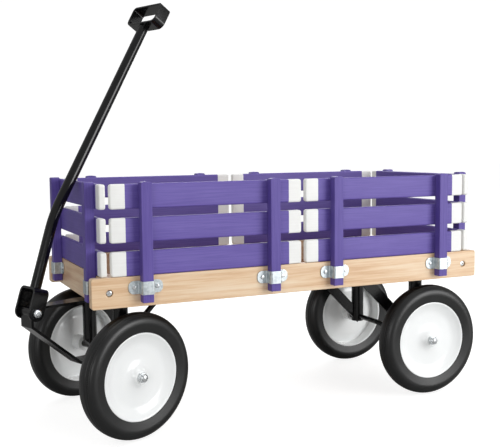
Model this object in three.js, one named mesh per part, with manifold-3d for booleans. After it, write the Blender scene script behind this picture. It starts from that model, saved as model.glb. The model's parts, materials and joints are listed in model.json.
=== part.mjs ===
import * as THREE from 'three';
import { mergeVertices } from 'three/addons/utils/BufferGeometryUtils.js';
import Module from 'manifold-3d';

// A four-wheeled child's wagon with slatted racks and a steering pull handle.
// Millimetres, +Z up, the wagon's front towards -Y, its left side towards +X.
// The front axle's centre is at x = 0, y = 0 while the pieces are built.

// Clearance kept between two pieces that touch.
const GAP = 0.3;
// How far two shapes run into each other where they are joined into one.
const OVERLAP = 1;
// How far a cutting shape runs past the surface that it cuts.
const CUT = 1;
// Facets in a quarter of a small, a middling and a full rounded corner.
const FINE_CORNER = 2;
const ROUND_CORNER = 4;
const FULL_CORNER = 5;

// Wooden bed.
const BED_LENGTH = 914;
const BED_WIDTH = 395;
const RAIL_THICK = 19;
const RAIL_HEIGHT = 60;
const RAIL_CORNER = 5;
const FRONT_OVERHANG = 75;
const CROSS_THICK = 31;
const CROSS_SETBACK = 19.5;
const DECK_THICK = 12;
const RAIL_BOLT_BORE = 7;
const RAIL_BOLT_DEPTH = 7;

// Slatted racks that stand on the bed.
const SLAT_HEIGHT = 48;
const SLAT_THICK = 13;
const SLAT_GAP = 17;
const SLAT_COUNT = 3;
const SLAT_CORNER = 4;
const SLAT_EASE = 2;
const RACK_STAND = 0.5;
const SIDE_SLAT_SETBACK = 39.5;
const RACK_SPLIT = 10;
const END_SLAT_INSET = 3;
const POST_WIDTH = 22;
const POST_DEPTH = 19;
const POST_DROP = 51;
const POST_RISE = 1.5;
const POST_ARCH = 2.5;
const POST_ARCH_STEPS = 6;
const POST_FROM_MIDDLE = 75;
const POST_FROM_END = 107;
const END_POST_INSET = 47.5;

// Sheet-metal brackets that hold the rack posts.
const BRACKET_SHEET = 2;
const BRACKET_REACH = 35;
const END_BRACKET_REACH = 27.5;
const BRACKET_HEIGHT = 26;
const BRACKET_CORNER = 12;
const BRACKET_DROP = 35;

// Wheels.
const WHEEL_RADIUS = 127;
const TYRE_WIDTH = 46;
// The tyre's side from its seat to the tread: height above the seat, and how far
// the side stands back from the widest point.
const TYRE_SIDE = [
  [0, 3.5],
  [8, 0.7],
  [17, 0],
  [26, 1.6],
  [33, 6],
  [37, 13],
];
const TYRE_DEPTH = 38;
const RIM_HALF_WIDTH = 18.5;
const RIM_WALL = 3.2;
const RIM_LIP = 4.2;
const DISH_MARGIN = 27;
const DISH_DEPTH = 12;
const DISH_BEND_INSIDE = 4;
const DISH_BEND_OUTSIDE = 8;
const DISH_BEND_RISE = 2.5;
const DISH_CROWN = 1;
const PLATE_WALL = 3;
const BAND_WALL = 4;
const HUB_RADIUS = 17;
const HUB_FLARE_RADIUS = 30;
const HUB_FLARE_RISE = 5;
const HUB_INNER_REACH = 24;
const HUB_OUTER_REACH = 18;
const SPINDLE_RADIUS = 6.35;
const BORE_PLAY = 0.35;
const SPINDLE_REACH = 27;
const NUT_RADIUS = 11;
const NUT_HEX = 7;
const NUT_DOME_WALL = 2.05;
const NUT_REACH = 13.2;
const NUT_SHOULDER = 3.5;
const NUT_CROWN = 1;
const NUT_CROWN_INSET = 2.5;
const ROUND_STEPS = 48;

// Facets round rods of three sizes.
const THICK_ROD_STEPS = 24;
const THIN_ROD_STEPS = 20;
const PIN_STEPS = 16;
const HEX = 6;

// Running gear layout.
const REAR_OVERHANG = 119;
const TRACK_INSET = 22.5;
const KINGPIN_INSET = 48;
const BED_CLEARANCE = 16;
const PLATE_THICK = 5;
const PLATE_END = 18;
const PLATE_HALF_WIDTH = 15;
const TUBE_RADIUS = 15.5;

// Steering.
const REST_STEER = THREE.MathUtils.degToRad(20);
const STEER_LOCK = THREE.MathUtils.degToRad(25);
const KINGPIN_RADIUS = 8;
const KING_BOLT_RADIUS = 7;
const KING_BORE_PLAY = 0.4;
const KING_NUT_RADIUS = 12;
const KING_NUT_HEIGHT = 8;
const KINGPIN_HEADROOM = 3;
const TURNING_PLAY = 0.5;
const STRAP_BOTTOM = 9;
const STRAP_THICK = 6;
const STRAP_HALF_WIDTH = 14;
const ARM_BOTTOM = 2.5;
const ARM_THICK = 6;
const ARM_LENGTH = 45;
const ARM_HALF_WIDTH = 9;
const BAR_BOTTOM = -4;
const BAR_THICK = 6;
const BAR_HALF_WIDTH = 8;
const BAR_EYE_RADIUS = 9.5;
const PIN_RADIUS = 3.8;
const PIN_HEAD_RADIUS = 7;
const PIN_HEAD_TOP = -4.5;
const PIN_HEAD_BOTTOM = -8;
const YOKE_PIN_PLAY = 0.4;
const KNUCKLE_PIN_PLAY = 1.2;
const BRACE_RADIUS = 6;
const BRACE_FOOT_Y = 22;
const BRACE_TOP_Y = 144;
const BRACE_SINK = 2;
const BRACE_TAB_HALF_WIDTH = 10;
const BRACE_TAB_MARGIN = 8;
const BRACE_PAD_HALF_WIDTH = 12;
const BRACE_PAD_AHEAD = 26;
const BRACE_PAD_BEHIND = 14;
const BRACE_TRIM = 50;

// Yoke that the handle pulls.
const TONGUE_REACH = 178;
const NOSE_OVERHANG = 8;
const NOSE_DROP = 47.4;
const BOLT_DROP = 17;
const YOKE_TOP_DROP = 8;
const YOKE_PLATE = 5;
const YOKE_HALF_WIDTH = 20;
const YOKE_BOSS_RADIUS = 21;
const YOKE_BOSS_STEPS = 32;
const YOKE_WAIST_HALF_WIDTH = 14;
const YOKE_SHOULDER_START = 67;
// Places along the yoke's plan, measured back from the nose.
const YOKE_WAIST_START = 52;
const YOKE_WAIST_END = 33.5;
const YOKE_NOSE_START = 13;
const YOKE_STRAP = 5.5;
const YOKE_KNEE = 74;
const YOKE_SPACER_RADIUS = 15;
const NOSE_BARREL_RADIUS = 10;
const BOLT_RADIUS = 4.8;
const BOLT_HEAD_RADIUS = 8.5;
const BOLT_HEAD = 6;

// Pull handle.
const FORK_HALF_WIDTH = 28;
const FORK_SHEET = 5;
const FORK_BAR = 34;
const FORK_HEIGHT = 49;
const FORK_BEND = 12;
const FORK_FOOT_EASE = 1;
const FORK_FOOT_STEPS = 12;
const HANDLE_TUBE_RADIUS = 11.1;
const HANDLE_TUBE_SINK = 2;
const HANDLE_TUBE_STEPS = 26;
const HANDLE_TUBE_SIDES = 18;
const LOWER_LENGTH = 202;
const UPPER_LENGTH = 461;
const HANDLE_BEND = THREE.MathUtils.degToRad(12.8);
const BEND_RADIUS = 300;
const GRIP_WIDTH = 98.6;
const GRIP_HEIGHT = 49;
const GRIP_BAND = 28.8;
const GRIP_SHEET = 4.5;
const GRIP_TOP_CORNER = 9;
const GRIP_BOTTOM_CORNER = 14;
// Rounds that settle the handle's lean on the rack.
const LEAN_ROUNDS = 8;

// Rear carriage.
const REAR_LEG_DROP = 12;
const STAY_WIDTH = 25;
const STAY_THICK = 6;
const STAY_PAD_HALF_WIDTH = 15;
const STAY_PAD_FRONT = 30;
const STAY_PAD_BACK = 20;

// Levels and positions that follow from the sizes above.
const AXLE_Z = WHEEL_RADIUS;
const BED_Z = 2 * WHEEL_RADIUS + BED_CLEARANCE;
const RAIL_TOP = BED_Z + RAIL_HEIGHT;
const RACK_BASE = RAIL_TOP + RACK_STAND;
const RACK_TOP = RACK_BASE + SLAT_COUNT * SLAT_HEIGHT + (SLAT_COUNT - 1) * SLAT_GAP;
const HALF_WIDTH = BED_WIDTH / 2;
const END_POST_X = HALF_WIDTH - END_POST_INSET;
const BED_FRONT = -FRONT_OVERHANG;
const BED_REAR = BED_LENGTH - FRONT_OVERHANG;
const BED_MIDDLE = (BED_FRONT + BED_REAR) / 2;
const CROSS_FRONT = BED_FRONT + CROSS_SETBACK;
const PLATE_BOTTOM = BED_Z - PLATE_THICK;
const PIN_HEIGHT = BED_Z - BOLT_DROP;
const WHEELBASE = BED_REAR - REAR_OVERHANG;
const HALF_TRACK = HALF_WIDTH - TRACK_INSET;
const KINGPIN_X = HALF_TRACK - KINGPIN_INSET;
const PLATE_HALF_LENGTH = KINGPIN_X + PLATE_END;
const SEAT_RADIUS = WHEEL_RADIUS - TYRE_DEPTH;
const DISH_RADIUS = SEAT_RADIUS - DISH_MARGIN;
const BORE_RADIUS = SPINDLE_RADIUS + BORE_PLAY;
const NUT_DOME = SPINDLE_RADIUS + NUT_DOME_WALL;
const NUT_CROWN_RADIUS = NUT_DOME - NUT_CROWN_INSET;
const KING_BORE_RADIUS = KING_BOLT_RADIUS + KING_BORE_PLAY;
const YOKE_PIN_HOLE = PIN_RADIUS + YOKE_PIN_PLAY;
const KNUCKLE_PIN_HOLE = PIN_RADIUS + KNUCKLE_PIN_PLAY;
const BOLT_HOLE = BOLT_RADIUS + GAP;

const LOOKS = {
  purple: { color: 0x6f3f96, roughness: 0.45, metalness: 0 },
  pine: { color: 0xd9b184, roughness: 0.5, metalness: 0 },
  varnish: { color: 0x9a6336, roughness: 0.45, metalness: 0 },
  zinc: { color: 0xb4b7b8, roughness: 0.35, metalness: 0.9 },
  black: { color: 0x0d0d0f, roughness: 0.25, metalness: 0.1 },
  rubber: { color: 0x1c1d1f, roughness: 0.7, metalness: 0 },
  white: { color: 0xf0f2f2, roughness: 0.3, metalness: 0 },
};

const wasm = await Module();
wasm.setup();

// Turns a closed three.js geometry into a solid that can be cut and joined.
function solid(geometry) {
  const bare = geometry.clone();
  bare.deleteAttribute('normal');
  bare.deleteAttribute('uv');
  const welded = mergeVertices(bare, 1e-4);
  const vertProperties = new Float32Array(welded.attributes.position.array);
  const triVerts = new Uint32Array(welded.index.array);
  return new wasm.Manifold(new wasm.Mesh({ numProp: 3, vertProperties, triVerts }));
}

// Turns a finished solid back into a three.js geometry.
function surface(shape) {
  const mesh = shape.getMesh();
  const geometry = new THREE.BufferGeometry();
  geometry.setAttribute('position', new THREE.BufferAttribute(mesh.vertProperties, 3));
  geometry.setIndex(new THREE.BufferAttribute(mesh.triVerts, 1));
  const faceted = geometry.toNonIndexed();
  faceted.computeVertexNormals();
  return faceted;
}

// Joins a list of solids into one.
function join(shapes) {
  return shapes.reduce((whole, shape) => whole.add(shape));
}

// Solid block between two corners.
function block(x0, x1, y0, y1, z0, z1) {
  const geometry = new THREE.BoxGeometry(x1 - x0, y1 - y0, z1 - z0);
  return solid(geometry.translate((x0 + x1) / 2, (y0 + y1) / 2, (z0 + z1) / 2));
}

// Solid rod between two points.
function rod(start, end, radius, steps = THICK_ROD_STEPS) {
  const from = new THREE.Vector3(...start);
  const to = new THREE.Vector3(...end);
  const along = to.clone().sub(from);
  const geometry = new THREE.CylinderGeometry(radius, radius, along.length(), steps);
  const turn = new THREE.Quaternion();
  turn.setFromUnitVectors(new THREE.Vector3(0, 1, 0), along.clone().normalize());
  geometry.applyQuaternion(turn);
  geometry.translate(...from.add(to).multiplyScalar(0.5).toArray());
  return solid(geometry);
}

// Upright solid cylinder.
function post(x, y, z0, z1, radius, steps = THICK_ROD_STEPS) {
  return rod([x, y, z0], [x, y, z1], radius, steps);
}

// Flat outline given as points in the XY plane, made solid between two heights.
function slab(points, z0, z1) {
  const shape = new THREE.Shape(points.map(([x, y]) => new THREE.Vector2(x, y)));
  const geometry = new THREE.ExtrudeGeometry(shape, { depth: z1 - z0, bevelEnabled: false });
  return geometry.translate(0, 0, z0);
}

// Slab whose outline lies in the YZ plane and whose thickness runs along X.
function sideSlab(points, x0, x1) {
  const geometry = slab(points, x0, x1);
  geometry.rotateX(Math.PI / 2);
  geometry.rotateZ(Math.PI / 2);
  return geometry;
}

// Rectangle with rounded corners, lower radius first.
function roundedOutline(width, height, lower, upper, steps) {
  const corners = [
    [width / 2 - lower, lower - height / 2, lower, -0.5],
    [width / 2 - upper, height / 2 - upper, upper, 0],
    [upper - width / 2, height / 2 - upper, upper, 0.5],
    [lower - width / 2, lower - height / 2, lower, 1],
  ];
  const points = [];
  for (const [x, y, radius, start] of corners) {
    for (let step = 0; step <= steps; step += 1) {
      const angle = (start + (0.5 * step) / steps) * Math.PI;
      points.push([x + radius * Math.cos(angle), y + radius * Math.sin(angle)]);
    }
  }
  return points;
}

// Closed profile of [radius, reach] points turned about the X axis.
function turned(profile) {
  const points = profile.map(([radius, reach]) => new THREE.Vector2(radius, reach));
  points.push(points[0].clone());
  const geometry = new THREE.LatheGeometry(points, ROUND_STEPS);
  return geometry.rotateZ(-Math.PI / 2);
}

const wagon = new THREE.Group();
wagon.name = 'wagon';

// Adds one named piece with its own material.
function addPiece(name, geometry, look, placement = new THREE.Matrix4()) {
  const mesh = new THREE.Mesh(geometry, new THREE.MeshStandardMaterial(LOOKS[look]));
  mesh.name = name;
  mesh.applyMatrix4(placement);
  wagon.add(mesh);
}

// Placement that shifts a piece.
function shift(x, y, z) {
  return new THREE.Matrix4().makeTranslation(x, y, z);
}

// Placement that turns a piece about an upright line.
function steer(angle, x = 0, y = 0) {
  const turn = new THREE.Matrix4().makeRotationZ(angle);
  return shift(x, y, 0).multiply(turn).multiply(shift(-x, -y, 0));
}

// Placement that turns a piece half way round the bed's middle.
function aboutMiddle() {
  return steer(Math.PI, 0, BED_MIDDLE);
}

// Mirrors a geometry across the wagon's centre plane, faces kept outward.
function mirrored(geometry) {
  const copy = geometry.index ? geometry.toNonIndexed() : geometry.clone();
  const position = copy.attributes.position;
  for (let corner = 0; corner < position.count; corner += 3) {
    const face = [0, 1, 2].map((k) => new THREE.Vector3().fromBufferAttribute(position, corner + k));
    position.setXYZ(corner, -face[0].x, face[0].y, face[0].z);
    position.setXYZ(corner + 1, -face[2].x, face[2].y, face[2].z);
    position.setXYZ(corner + 2, -face[1].x, face[1].y, face[1].z);
  }
  copy.computeVertexNormals();
  return copy;
}

// Left side rail with a countersunk bolt seat near each end.
function sideRail() {
  const outline = roundedOutline(BED_LENGTH, RAIL_HEIGHT, RAIL_CORNER, RAIL_CORNER, ROUND_CORNER);
  const placed = outline.map(([y, z]) => [y + BED_MIDDLE, z + BED_Z + RAIL_HEIGHT / 2]);
  let rail = solid(sideSlab(placed, HALF_WIDTH - RAIL_THICK, HALF_WIDTH));
  const seatZ = BED_Z + RAIL_HEIGHT / 2;
  const fromEnd = CROSS_SETBACK + CROSS_THICK / 2;
  for (const y of [BED_FRONT + fromEnd, BED_REAR - fromEnd]) {
    const floor = [HALF_WIDTH - RAIL_BOLT_DEPTH, y, seatZ];
    const mouth = [HALF_WIDTH + CUT, y, seatZ];
    rail = rail.subtract(rod(floor, mouth, RAIL_BOLT_BORE, THIN_ROD_STEPS));
  }
  return surface(rail);
}

// Wooden frame and floor of the bed.
function addBed() {
  const rail = sideRail();
  addPiece('side_rail_left', rail, 'pine');
  addPiece('side_rail_right', mirrored(rail), 'pine');
  const reach = HALF_WIDTH - RAIL_THICK - GAP;
  const cross = surface(block(-reach, reach, CROSS_FRONT, CROSS_FRONT + CROSS_THICK, BED_Z, RAIL_TOP));
  addPiece('cross_rail_front', cross, 'pine');
  addPiece('cross_rail_rear', cross.clone(), 'pine', aboutMiddle());
  const deckStart = CROSS_FRONT + CROSS_THICK + GAP;
  const deckEnd = 2 * BED_MIDDLE - deckStart;
  const deck = block(-reach, reach, deckStart, deckEnd, BED_Z + GAP, BED_Z + GAP + DECK_THICK);
  addPiece('deck_panel', surface(deck), 'varnish');
}

// One slat lying along X and centred on the origin, edges eased.
function slat(length) {
  const outline = roundedOutline(
    length - 2 * SLAT_EASE,
    SLAT_HEIGHT - 2 * SLAT_EASE,
    SLAT_CORNER,
    SLAT_CORNER,
    FINE_CORNER,
  );
  const shape = new THREE.Shape(outline.map(([x, y]) => new THREE.Vector2(x, y)));
  const geometry = new THREE.ExtrudeGeometry(shape, {
    depth: SLAT_THICK - 2 * SLAT_EASE,
    bevelThickness: SLAT_EASE,
    bevelSize: SLAT_EASE,
    bevelSegments: 1,
  });
  geometry.translate(0, 0, SLAT_EASE - SLAT_THICK / 2);
  return geometry.rotateX(Math.PI / 2);
}

// One rack post, width along X, standing behind y = 0 on its +Y side, arched top.
function rackPost() {
  const half = POST_WIDTH / 2;
  const foot = RAIL_TOP - POST_DROP;
  const shoulder = RACK_TOP + POST_RISE;
  const points = [
    [-half, foot],
    [half, foot],
  ];
  for (let step = 0; step <= POST_ARCH_STEPS; step += 1) {
    const across = 1 - (2 * step) / POST_ARCH_STEPS;
    points.push([across * half, shoulder + POST_ARCH * (1 - across * across)]);
  }
  const geometry = slab(points, 0, POST_DEPTH);
  return geometry.rotateX(Math.PI / 2);
}

// Heights of the slats' middle lines.
function slatLevels() {
  const levels = [];
  for (let row = 0; row < SLAT_COUNT; row += 1) {
    levels.push(RACK_BASE + SLAT_HEIGHT / 2 + row * (SLAT_HEIGHT + SLAT_GAP));
  }
  return levels;
}

// Positions along the bed of one side's four posts, paired by rack.
function postPairs() {
  const half = BED_LENGTH / 2;
  const far = half - POST_FROM_END;
  return {
    front: [BED_MIDDLE - far, BED_MIDDLE - POST_FROM_MIDDLE],
    rear: [BED_MIDDLE + POST_FROM_MIDDLE, BED_MIDDLE + far],
  };
}

// Four side racks, each of three slats screwed to two posts.
function addSideRacks() {
  const start = BED_FRONT + SIDE_SLAT_SETBACK;
  const end = BED_MIDDLE - RACK_SPLIT / 2;
  const length = end - start;
  const offset = BED_MIDDLE - (start + end) / 2;
  const rows = ['low', 'mid', 'top'];
  for (const [side, sign] of [['left', 1], ['right', -1]]) {
    const quarter = new THREE.Matrix4().makeRotationZ((sign * Math.PI) / 2);
    for (const [part, way] of [['front', -1], ['rear', 1]]) {
      slatLevels().forEach((z, row) => {
        const x = sign * (HALF_WIDTH - SLAT_THICK / 2);
        const place = shift(x, BED_MIDDLE + way * offset, z).multiply(quarter);
        addPiece(`slat_${side}_${part}_${rows[row]}`, slat(length), 'purple', place);
      });
      postPairs()[part].forEach((y, k) => {
        const place = shift(sign * (HALF_WIDTH + GAP), y, 0).multiply(quarter);
        addPiece(`post_${side}_${part}_${k + 1}`, rackPost(), 'purple', place);
      });
    }
  }
}

// End rack, built for the front: three slats and two posts fixed together.
function endRack() {
  const length = 2 * (HALF_WIDTH - END_SLAT_INSET);
  const shapes = [];
  for (const z of slatLevels()) {
    shapes.push(solid(slat(length)).translate([0, CROSS_FRONT + SLAT_THICK / 2, z]));
    for (const x of [-END_POST_X, END_POST_X]) {
      const half = POST_WIDTH / 2;
      const low = z - SLAT_HEIGHT / 2 + SLAT_EASE;
      const high = z + SLAT_HEIGHT / 2 - SLAT_EASE;
      const back = CROSS_FRONT + OVERLAP;
      shapes.push(block(x - half, x + half, CROSS_FRONT - OVERLAP, back, low, high));
    }
  }
  for (const x of [-END_POST_X, END_POST_X]) {
    shapes.push(solid(rackPost()).translate([x, CROSS_FRONT - GAP, 0]));
  }
  return surface(join(shapes));
}

// Strap bracket for one post: two ears on the rail and a channel round the post.
function bracket(reach) {
  const inner = POST_WIDTH / 2 + GAP;
  const outer = inner + BRACKET_SHEET;
  const depth = POST_DEPTH + GAP + GAP;
  const foot = RAIL_TOP - BRACKET_DROP;
  const points = [
    [-reach, -GAP],
    [-reach, -GAP - BRACKET_SHEET],
    [-outer, -GAP - BRACKET_SHEET],
    [-outer, -depth - BRACKET_SHEET],
    [outer, -depth - BRACKET_SHEET],
    [outer, -GAP - BRACKET_SHEET],
    [reach, -GAP - BRACKET_SHEET],
    [reach, -GAP],
    [inner, -GAP],
    [inner, -depth],
    [-inner, -depth],
    [-inner, -GAP],
  ];
  const strap = solid(slab(points, foot, foot + BRACKET_HEIGHT));
  const ends = roundedOutline(2 * reach, BRACKET_HEIGHT, BRACKET_CORNER, BRACKET_CORNER, FULL_CORNER);
  const mask = slab(ends, 0, depth + BRACKET_SHEET + CUT);
  mask.rotateX(Math.PI / 2);
  mask.translate(0, 0, foot + BRACKET_HEIGHT / 2);
  return surface(strap.intersect(solid(mask)));
}

// Twelve brackets, one for each post.
function addBrackets() {
  for (const [side, sign] of [['left', 1], ['right', -1]]) {
    const quarter = new THREE.Matrix4().makeRotationZ((sign * Math.PI) / 2);
    const pairs = postPairs();
    [...pairs.front, ...pairs.rear].forEach((y, k) => {
      const place = shift(sign * HALF_WIDTH, y, 0).multiply(quarter);
      addPiece(`bracket_${side}_${k + 1}`, bracket(BRACKET_REACH), 'zinc', place);
    });
  }
  for (const [side, sign] of [['left', 1], ['right', -1]]) {
    const place = shift(sign * END_POST_X, CROSS_FRONT, 0);
    addPiece(`bracket_front_${side}`, bracket(END_BRACKET_REACH), 'zinc', place);
    const rear = aboutMiddle().multiply(shift(-sign * END_POST_X, CROSS_FRONT, 0));
    addPiece(`bracket_rear_${side}`, bracket(END_BRACKET_REACH), 'zinc', rear);
  }
}

// Solid rubber tyre centred on the origin, axle along X.
function tyre() {
  const half = TYRE_WIDTH / 2;
  const outward = TYRE_SIDE.map(([height, back]) => [SEAT_RADIUS + height, half - back]);
  const inward = outward.slice().reverse().map(([radius, reach]) => [radius, -reach]);
  return turned([...outward, [WHEEL_RADIUS, 0], ...inward].reverse());
}

// Dished wheel disc with its rim band and hub, outer face towards +X.
function wheelDisc() {
  const rim = SEAT_RADIUS - GAP;
  const inside = rim - RIM_WALL;
  const floor = RIM_HALF_WIDTH - DISH_DEPTH;
  const profile = [
    [BORE_RADIUS, -HUB_INNER_REACH],
    [HUB_RADIUS, -HUB_INNER_REACH],
    [HUB_RADIUS, floor - PLATE_WALL - DISH_CROWN],
    [DISH_RADIUS, floor - PLATE_WALL],
    [inside, RIM_HALF_WIDTH - BAND_WALL],
    [inside, -RIM_HALF_WIDTH],
    [rim, -RIM_HALF_WIDTH],
    [rim, RIM_HALF_WIDTH],
    [rim - RIM_LIP, RIM_HALF_WIDTH],
    [DISH_RADIUS + DISH_BEND_OUTSIDE, floor + DISH_BEND_RISE],
    [DISH_RADIUS - DISH_BEND_INSIDE, floor],
    [HUB_FLARE_RADIUS, floor],
    [HUB_RADIUS, floor + HUB_FLARE_RISE],
    [HUB_RADIUS, HUB_OUTER_REACH],
    [BORE_RADIUS, HUB_OUTER_REACH],
  ];
  return turned(profile);
}

// Domed hexagon nut that closes the end of an axle, open towards -X.
function hubNut() {
  const start = HUB_OUTER_REACH + GAP;
  const end = RIM_HALF_WIDTH + NUT_REACH;
  const hex = rod([start, 0, 0], [start + NUT_HEX, 0, 0], NUT_RADIUS, HEX);
  const dome = turned([
    [0, start + NUT_HEX - OVERLAP],
    [NUT_DOME, start + NUT_HEX - OVERLAP],
    [NUT_DOME, end - NUT_SHOULDER],
    [NUT_CROWN_RADIUS, end - NUT_CROWN],
    [0, end],
  ]);
  const bore = rod([start - CUT, 0, 0], [SPINDLE_REACH + GAP, 0, 0], SPINDLE_RADIUS + GAP);
  return surface(hex.add(solid(dome)).subtract(bore));
}

// Four wheels; the front pair stands at the resting steering angle.
function addWheels() {
  for (const [side, sign] of [['left', 1], ['right', -1]]) {
    const flip = new THREE.Matrix4().makeRotationZ(sign > 0 ? 0 : Math.PI);
    const steered = steer(REST_STEER, sign * KINGPIN_X, 0);
    const front = steered.clone().multiply(shift(sign * HALF_TRACK, 0, AXLE_Z)).multiply(flip);
    const rear = shift(sign * HALF_TRACK, WHEELBASE, AXLE_Z).multiply(flip);
    for (const [end, place] of [['front', front], ['rear', rear]]) {
      addPiece(`tyre_${end}_${side}`, tyre(), 'rubber', place);
      addPiece(`wheel_disc_${end}_${side}`, wheelDisc(), 'white', place);
      addPiece(`hub_nut_${end}_${side}`, hubNut(), 'zinc', place);
    }
  }
}

// Mounting plate across the underside of the bed.
function carriagePlate(y) {
  return block(
    -PLATE_HALF_LENGTH,
    PLATE_HALF_LENGTH,
    y - PLATE_HALF_WIDTH,
    y + PLATE_HALF_WIDTH,
    PLATE_BOTTOM,
    BED_Z,
  );
}

// Fixed front carriage: plate, two kingpin tubes, lower strap, brace and the two
// short king bolts that hold the yoke, one below the plate and one in the strap.
function frontUndercarriage() {
  const strapBottom = AXLE_Z + STRAP_BOTTOM;
  const strapTop = strapBottom + STRAP_THICK;
  const shapes = [carriagePlate(0)];
  for (const x of [-KINGPIN_X, KINGPIN_X]) {
    shapes.push(post(x, 0, strapBottom, PLATE_BOTTOM + OVERLAP, TUBE_RADIUS));
  }
  shapes.push(block(-KINGPIN_X, KINGPIN_X, -STRAP_HALF_WIDTH, STRAP_HALF_WIDTH, strapBottom, strapTop));
  const tab = BRACE_TAB_HALF_WIDTH;
  shapes.push(block(-tab, tab, 0, BRACE_FOOT_Y + BRACE_TAB_MARGIN, strapBottom, strapTop));
  const pad = BRACE_PAD_HALF_WIDTH;
  const padFront = BRACE_TOP_Y - BRACE_PAD_AHEAD;
  const padBack = BRACE_TOP_Y + BRACE_PAD_BEHIND;
  shapes.push(block(-pad, pad, padFront, padBack, PLATE_BOTTOM, BED_Z));
  const lean = (PLATE_BOTTOM - strapBottom) / (BRACE_TOP_Y - BRACE_FOOT_Y);
  const low = [0, BRACE_FOOT_Y - BRACE_SINK, strapBottom + BRACE_SINK * (1 - lean)];
  const high = [0, BRACE_TOP_Y - OVERLAP, PLATE_BOTTOM + BRACE_SINK - OVERLAP * lean];
  const brace = rod(low, high, BRACE_RADIUS, PIN_STEPS);
  const beyond = BRACE_TOP_Y + BRACE_TRIM;
  const side = BRACE_TRIM;
  const trimLow = block(-side, side, -side, beyond, strapBottom - BRACE_TRIM, strapBottom);
  const trimHigh = block(-side, side, -side, beyond, BED_Z, BED_Z + BRACE_TRIM);
  shapes.push(brace.subtract(trimLow).subtract(trimHigh));
  const armLow = AXLE_Z + ARM_BOTTOM;
  const yokeLow = BED_Z - YOKE_TOP_DROP - YOKE_PLATE;
  for (const [under, held] of [[armLow, strapTop], [yokeLow, PLATE_BOTTOM]]) {
    const nutTop = under - TURNING_PLAY;
    const nutLow = nutTop - KING_NUT_HEIGHT;
    shapes.push(post(0, 0, nutTop - KING_NUT_HEIGHT / 2, held + OVERLAP, KING_BOLT_RADIUS));
    shapes.push(post(0, 0, nutLow, nutTop, KING_NUT_RADIUS, HEX));
  }
  const headLow = strapTop - OVERLAP;
  shapes.push(post(0, 0, headLow, headLow + KING_NUT_HEIGHT, KING_NUT_RADIUS, HEX));
  let carriage = join(shapes);
  for (const x of [-KINGPIN_X, KINGPIN_X]) {
    const bore = post(x, 0, strapBottom - CUT, PLATE_BOTTOM - CUT, KINGPIN_RADIUS + GAP);
    carriage = carriage.subtract(bore);
  }
  return surface(carriage);
}

// Rear carriage: plate, two legs and two diagonal stays, bored for the axle.
function rearUndercarriage() {
  const shapes = [carriagePlate(WHEELBASE)];
  const rise = PLATE_BOTTOM - AXLE_Z;
  const half = STAY_WIDTH / Math.SQRT2;
  for (const x of [-KINGPIN_X, KINGPIN_X]) {
    shapes.push(post(x, WHEELBASE, AXLE_Z - REAR_LEG_DROP, PLATE_BOTTOM + OVERLAP, TUBE_RADIUS));
    const foot = WHEELBASE - rise;
    const stay = [
      [WHEELBASE, AXLE_Z - half],
      [WHEELBASE, AXLE_Z + half],
      [foot + half, PLATE_BOTTOM + OVERLAP],
      [foot - half, PLATE_BOTTOM + OVERLAP],
      [foot - half, PLATE_BOTTOM],
    ];
    const edge = STAY_THICK / 2;
    shapes.push(solid(sideSlab(stay, x - edge, x + edge)));
    const pad = STAY_PAD_HALF_WIDTH;
    const padFront = foot - STAY_PAD_FRONT;
    shapes.push(block(x - pad, x + pad, padFront, foot + STAY_PAD_BACK, PLATE_BOTTOM, BED_Z));
  }
  const clear = SPINDLE_RADIUS + GAP;
  const reach = KINGPIN_X + TUBE_RADIUS + CUT;
  const bore = rod([-reach, WHEELBASE, AXLE_Z], [reach, WHEELBASE, AXLE_Z], clear);
  return surface(join(shapes).subtract(bore));
}

// Rear axle with a collar inside each wheel.
function rearAxle() {
  const reach = HALF_TRACK + SPINDLE_REACH;
  const shapes = [rod([-reach, 0, 0], [reach, 0, 0], SPINDLE_RADIUS)];
  const inner = KINGPIN_X + TUBE_RADIUS + GAP;
  const outer = HALF_TRACK - HUB_INNER_REACH - GAP;
  for (const sign of [-1, 1]) {
    shapes.push(rod([sign * inner, 0, 0], [sign * outer, 0, 0], NUT_RADIUS));
  }
  return surface(join(shapes));
}

// Stub axle knuckle about its own kingpin at the origin, wheel towards +X.
function knuckle() {
  const shoulder = HALF_TRACK - HUB_INNER_REACH - GAP - KINGPIN_X;
  const end = HALF_TRACK + SPINDLE_REACH - KINGPIN_X;
  const armBottom = AXLE_Z + ARM_BOTTOM;
  const shapes = [
    post(0, 0, AXLE_Z, PLATE_BOTTOM - KINGPIN_HEADROOM, KINGPIN_RADIUS),
    rod([-KINGPIN_RADIUS, 0, AXLE_Z], [shoulder, 0, AXLE_Z], KINGPIN_RADIUS),
    rod([0, 0, AXLE_Z], [end, 0, AXLE_Z], SPINDLE_RADIUS),
    block(-ARM_HALF_WIDTH, ARM_HALF_WIDTH, 0, ARM_LENGTH, armBottom, armBottom + ARM_THICK),
    post(0, ARM_LENGTH, armBottom, armBottom + ARM_THICK, ARM_HALF_WIDTH),
    post(0, ARM_LENGTH, AXLE_Z + PIN_HEAD_BOTTOM, armBottom + OVERLAP, PIN_RADIUS, PIN_STEPS),
    post(0, ARM_LENGTH, AXLE_Z + PIN_HEAD_BOTTOM, AXLE_Z + PIN_HEAD_TOP, PIN_HEAD_RADIUS, PIN_STEPS),
  ];
  return surface(join(shapes));
}

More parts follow.
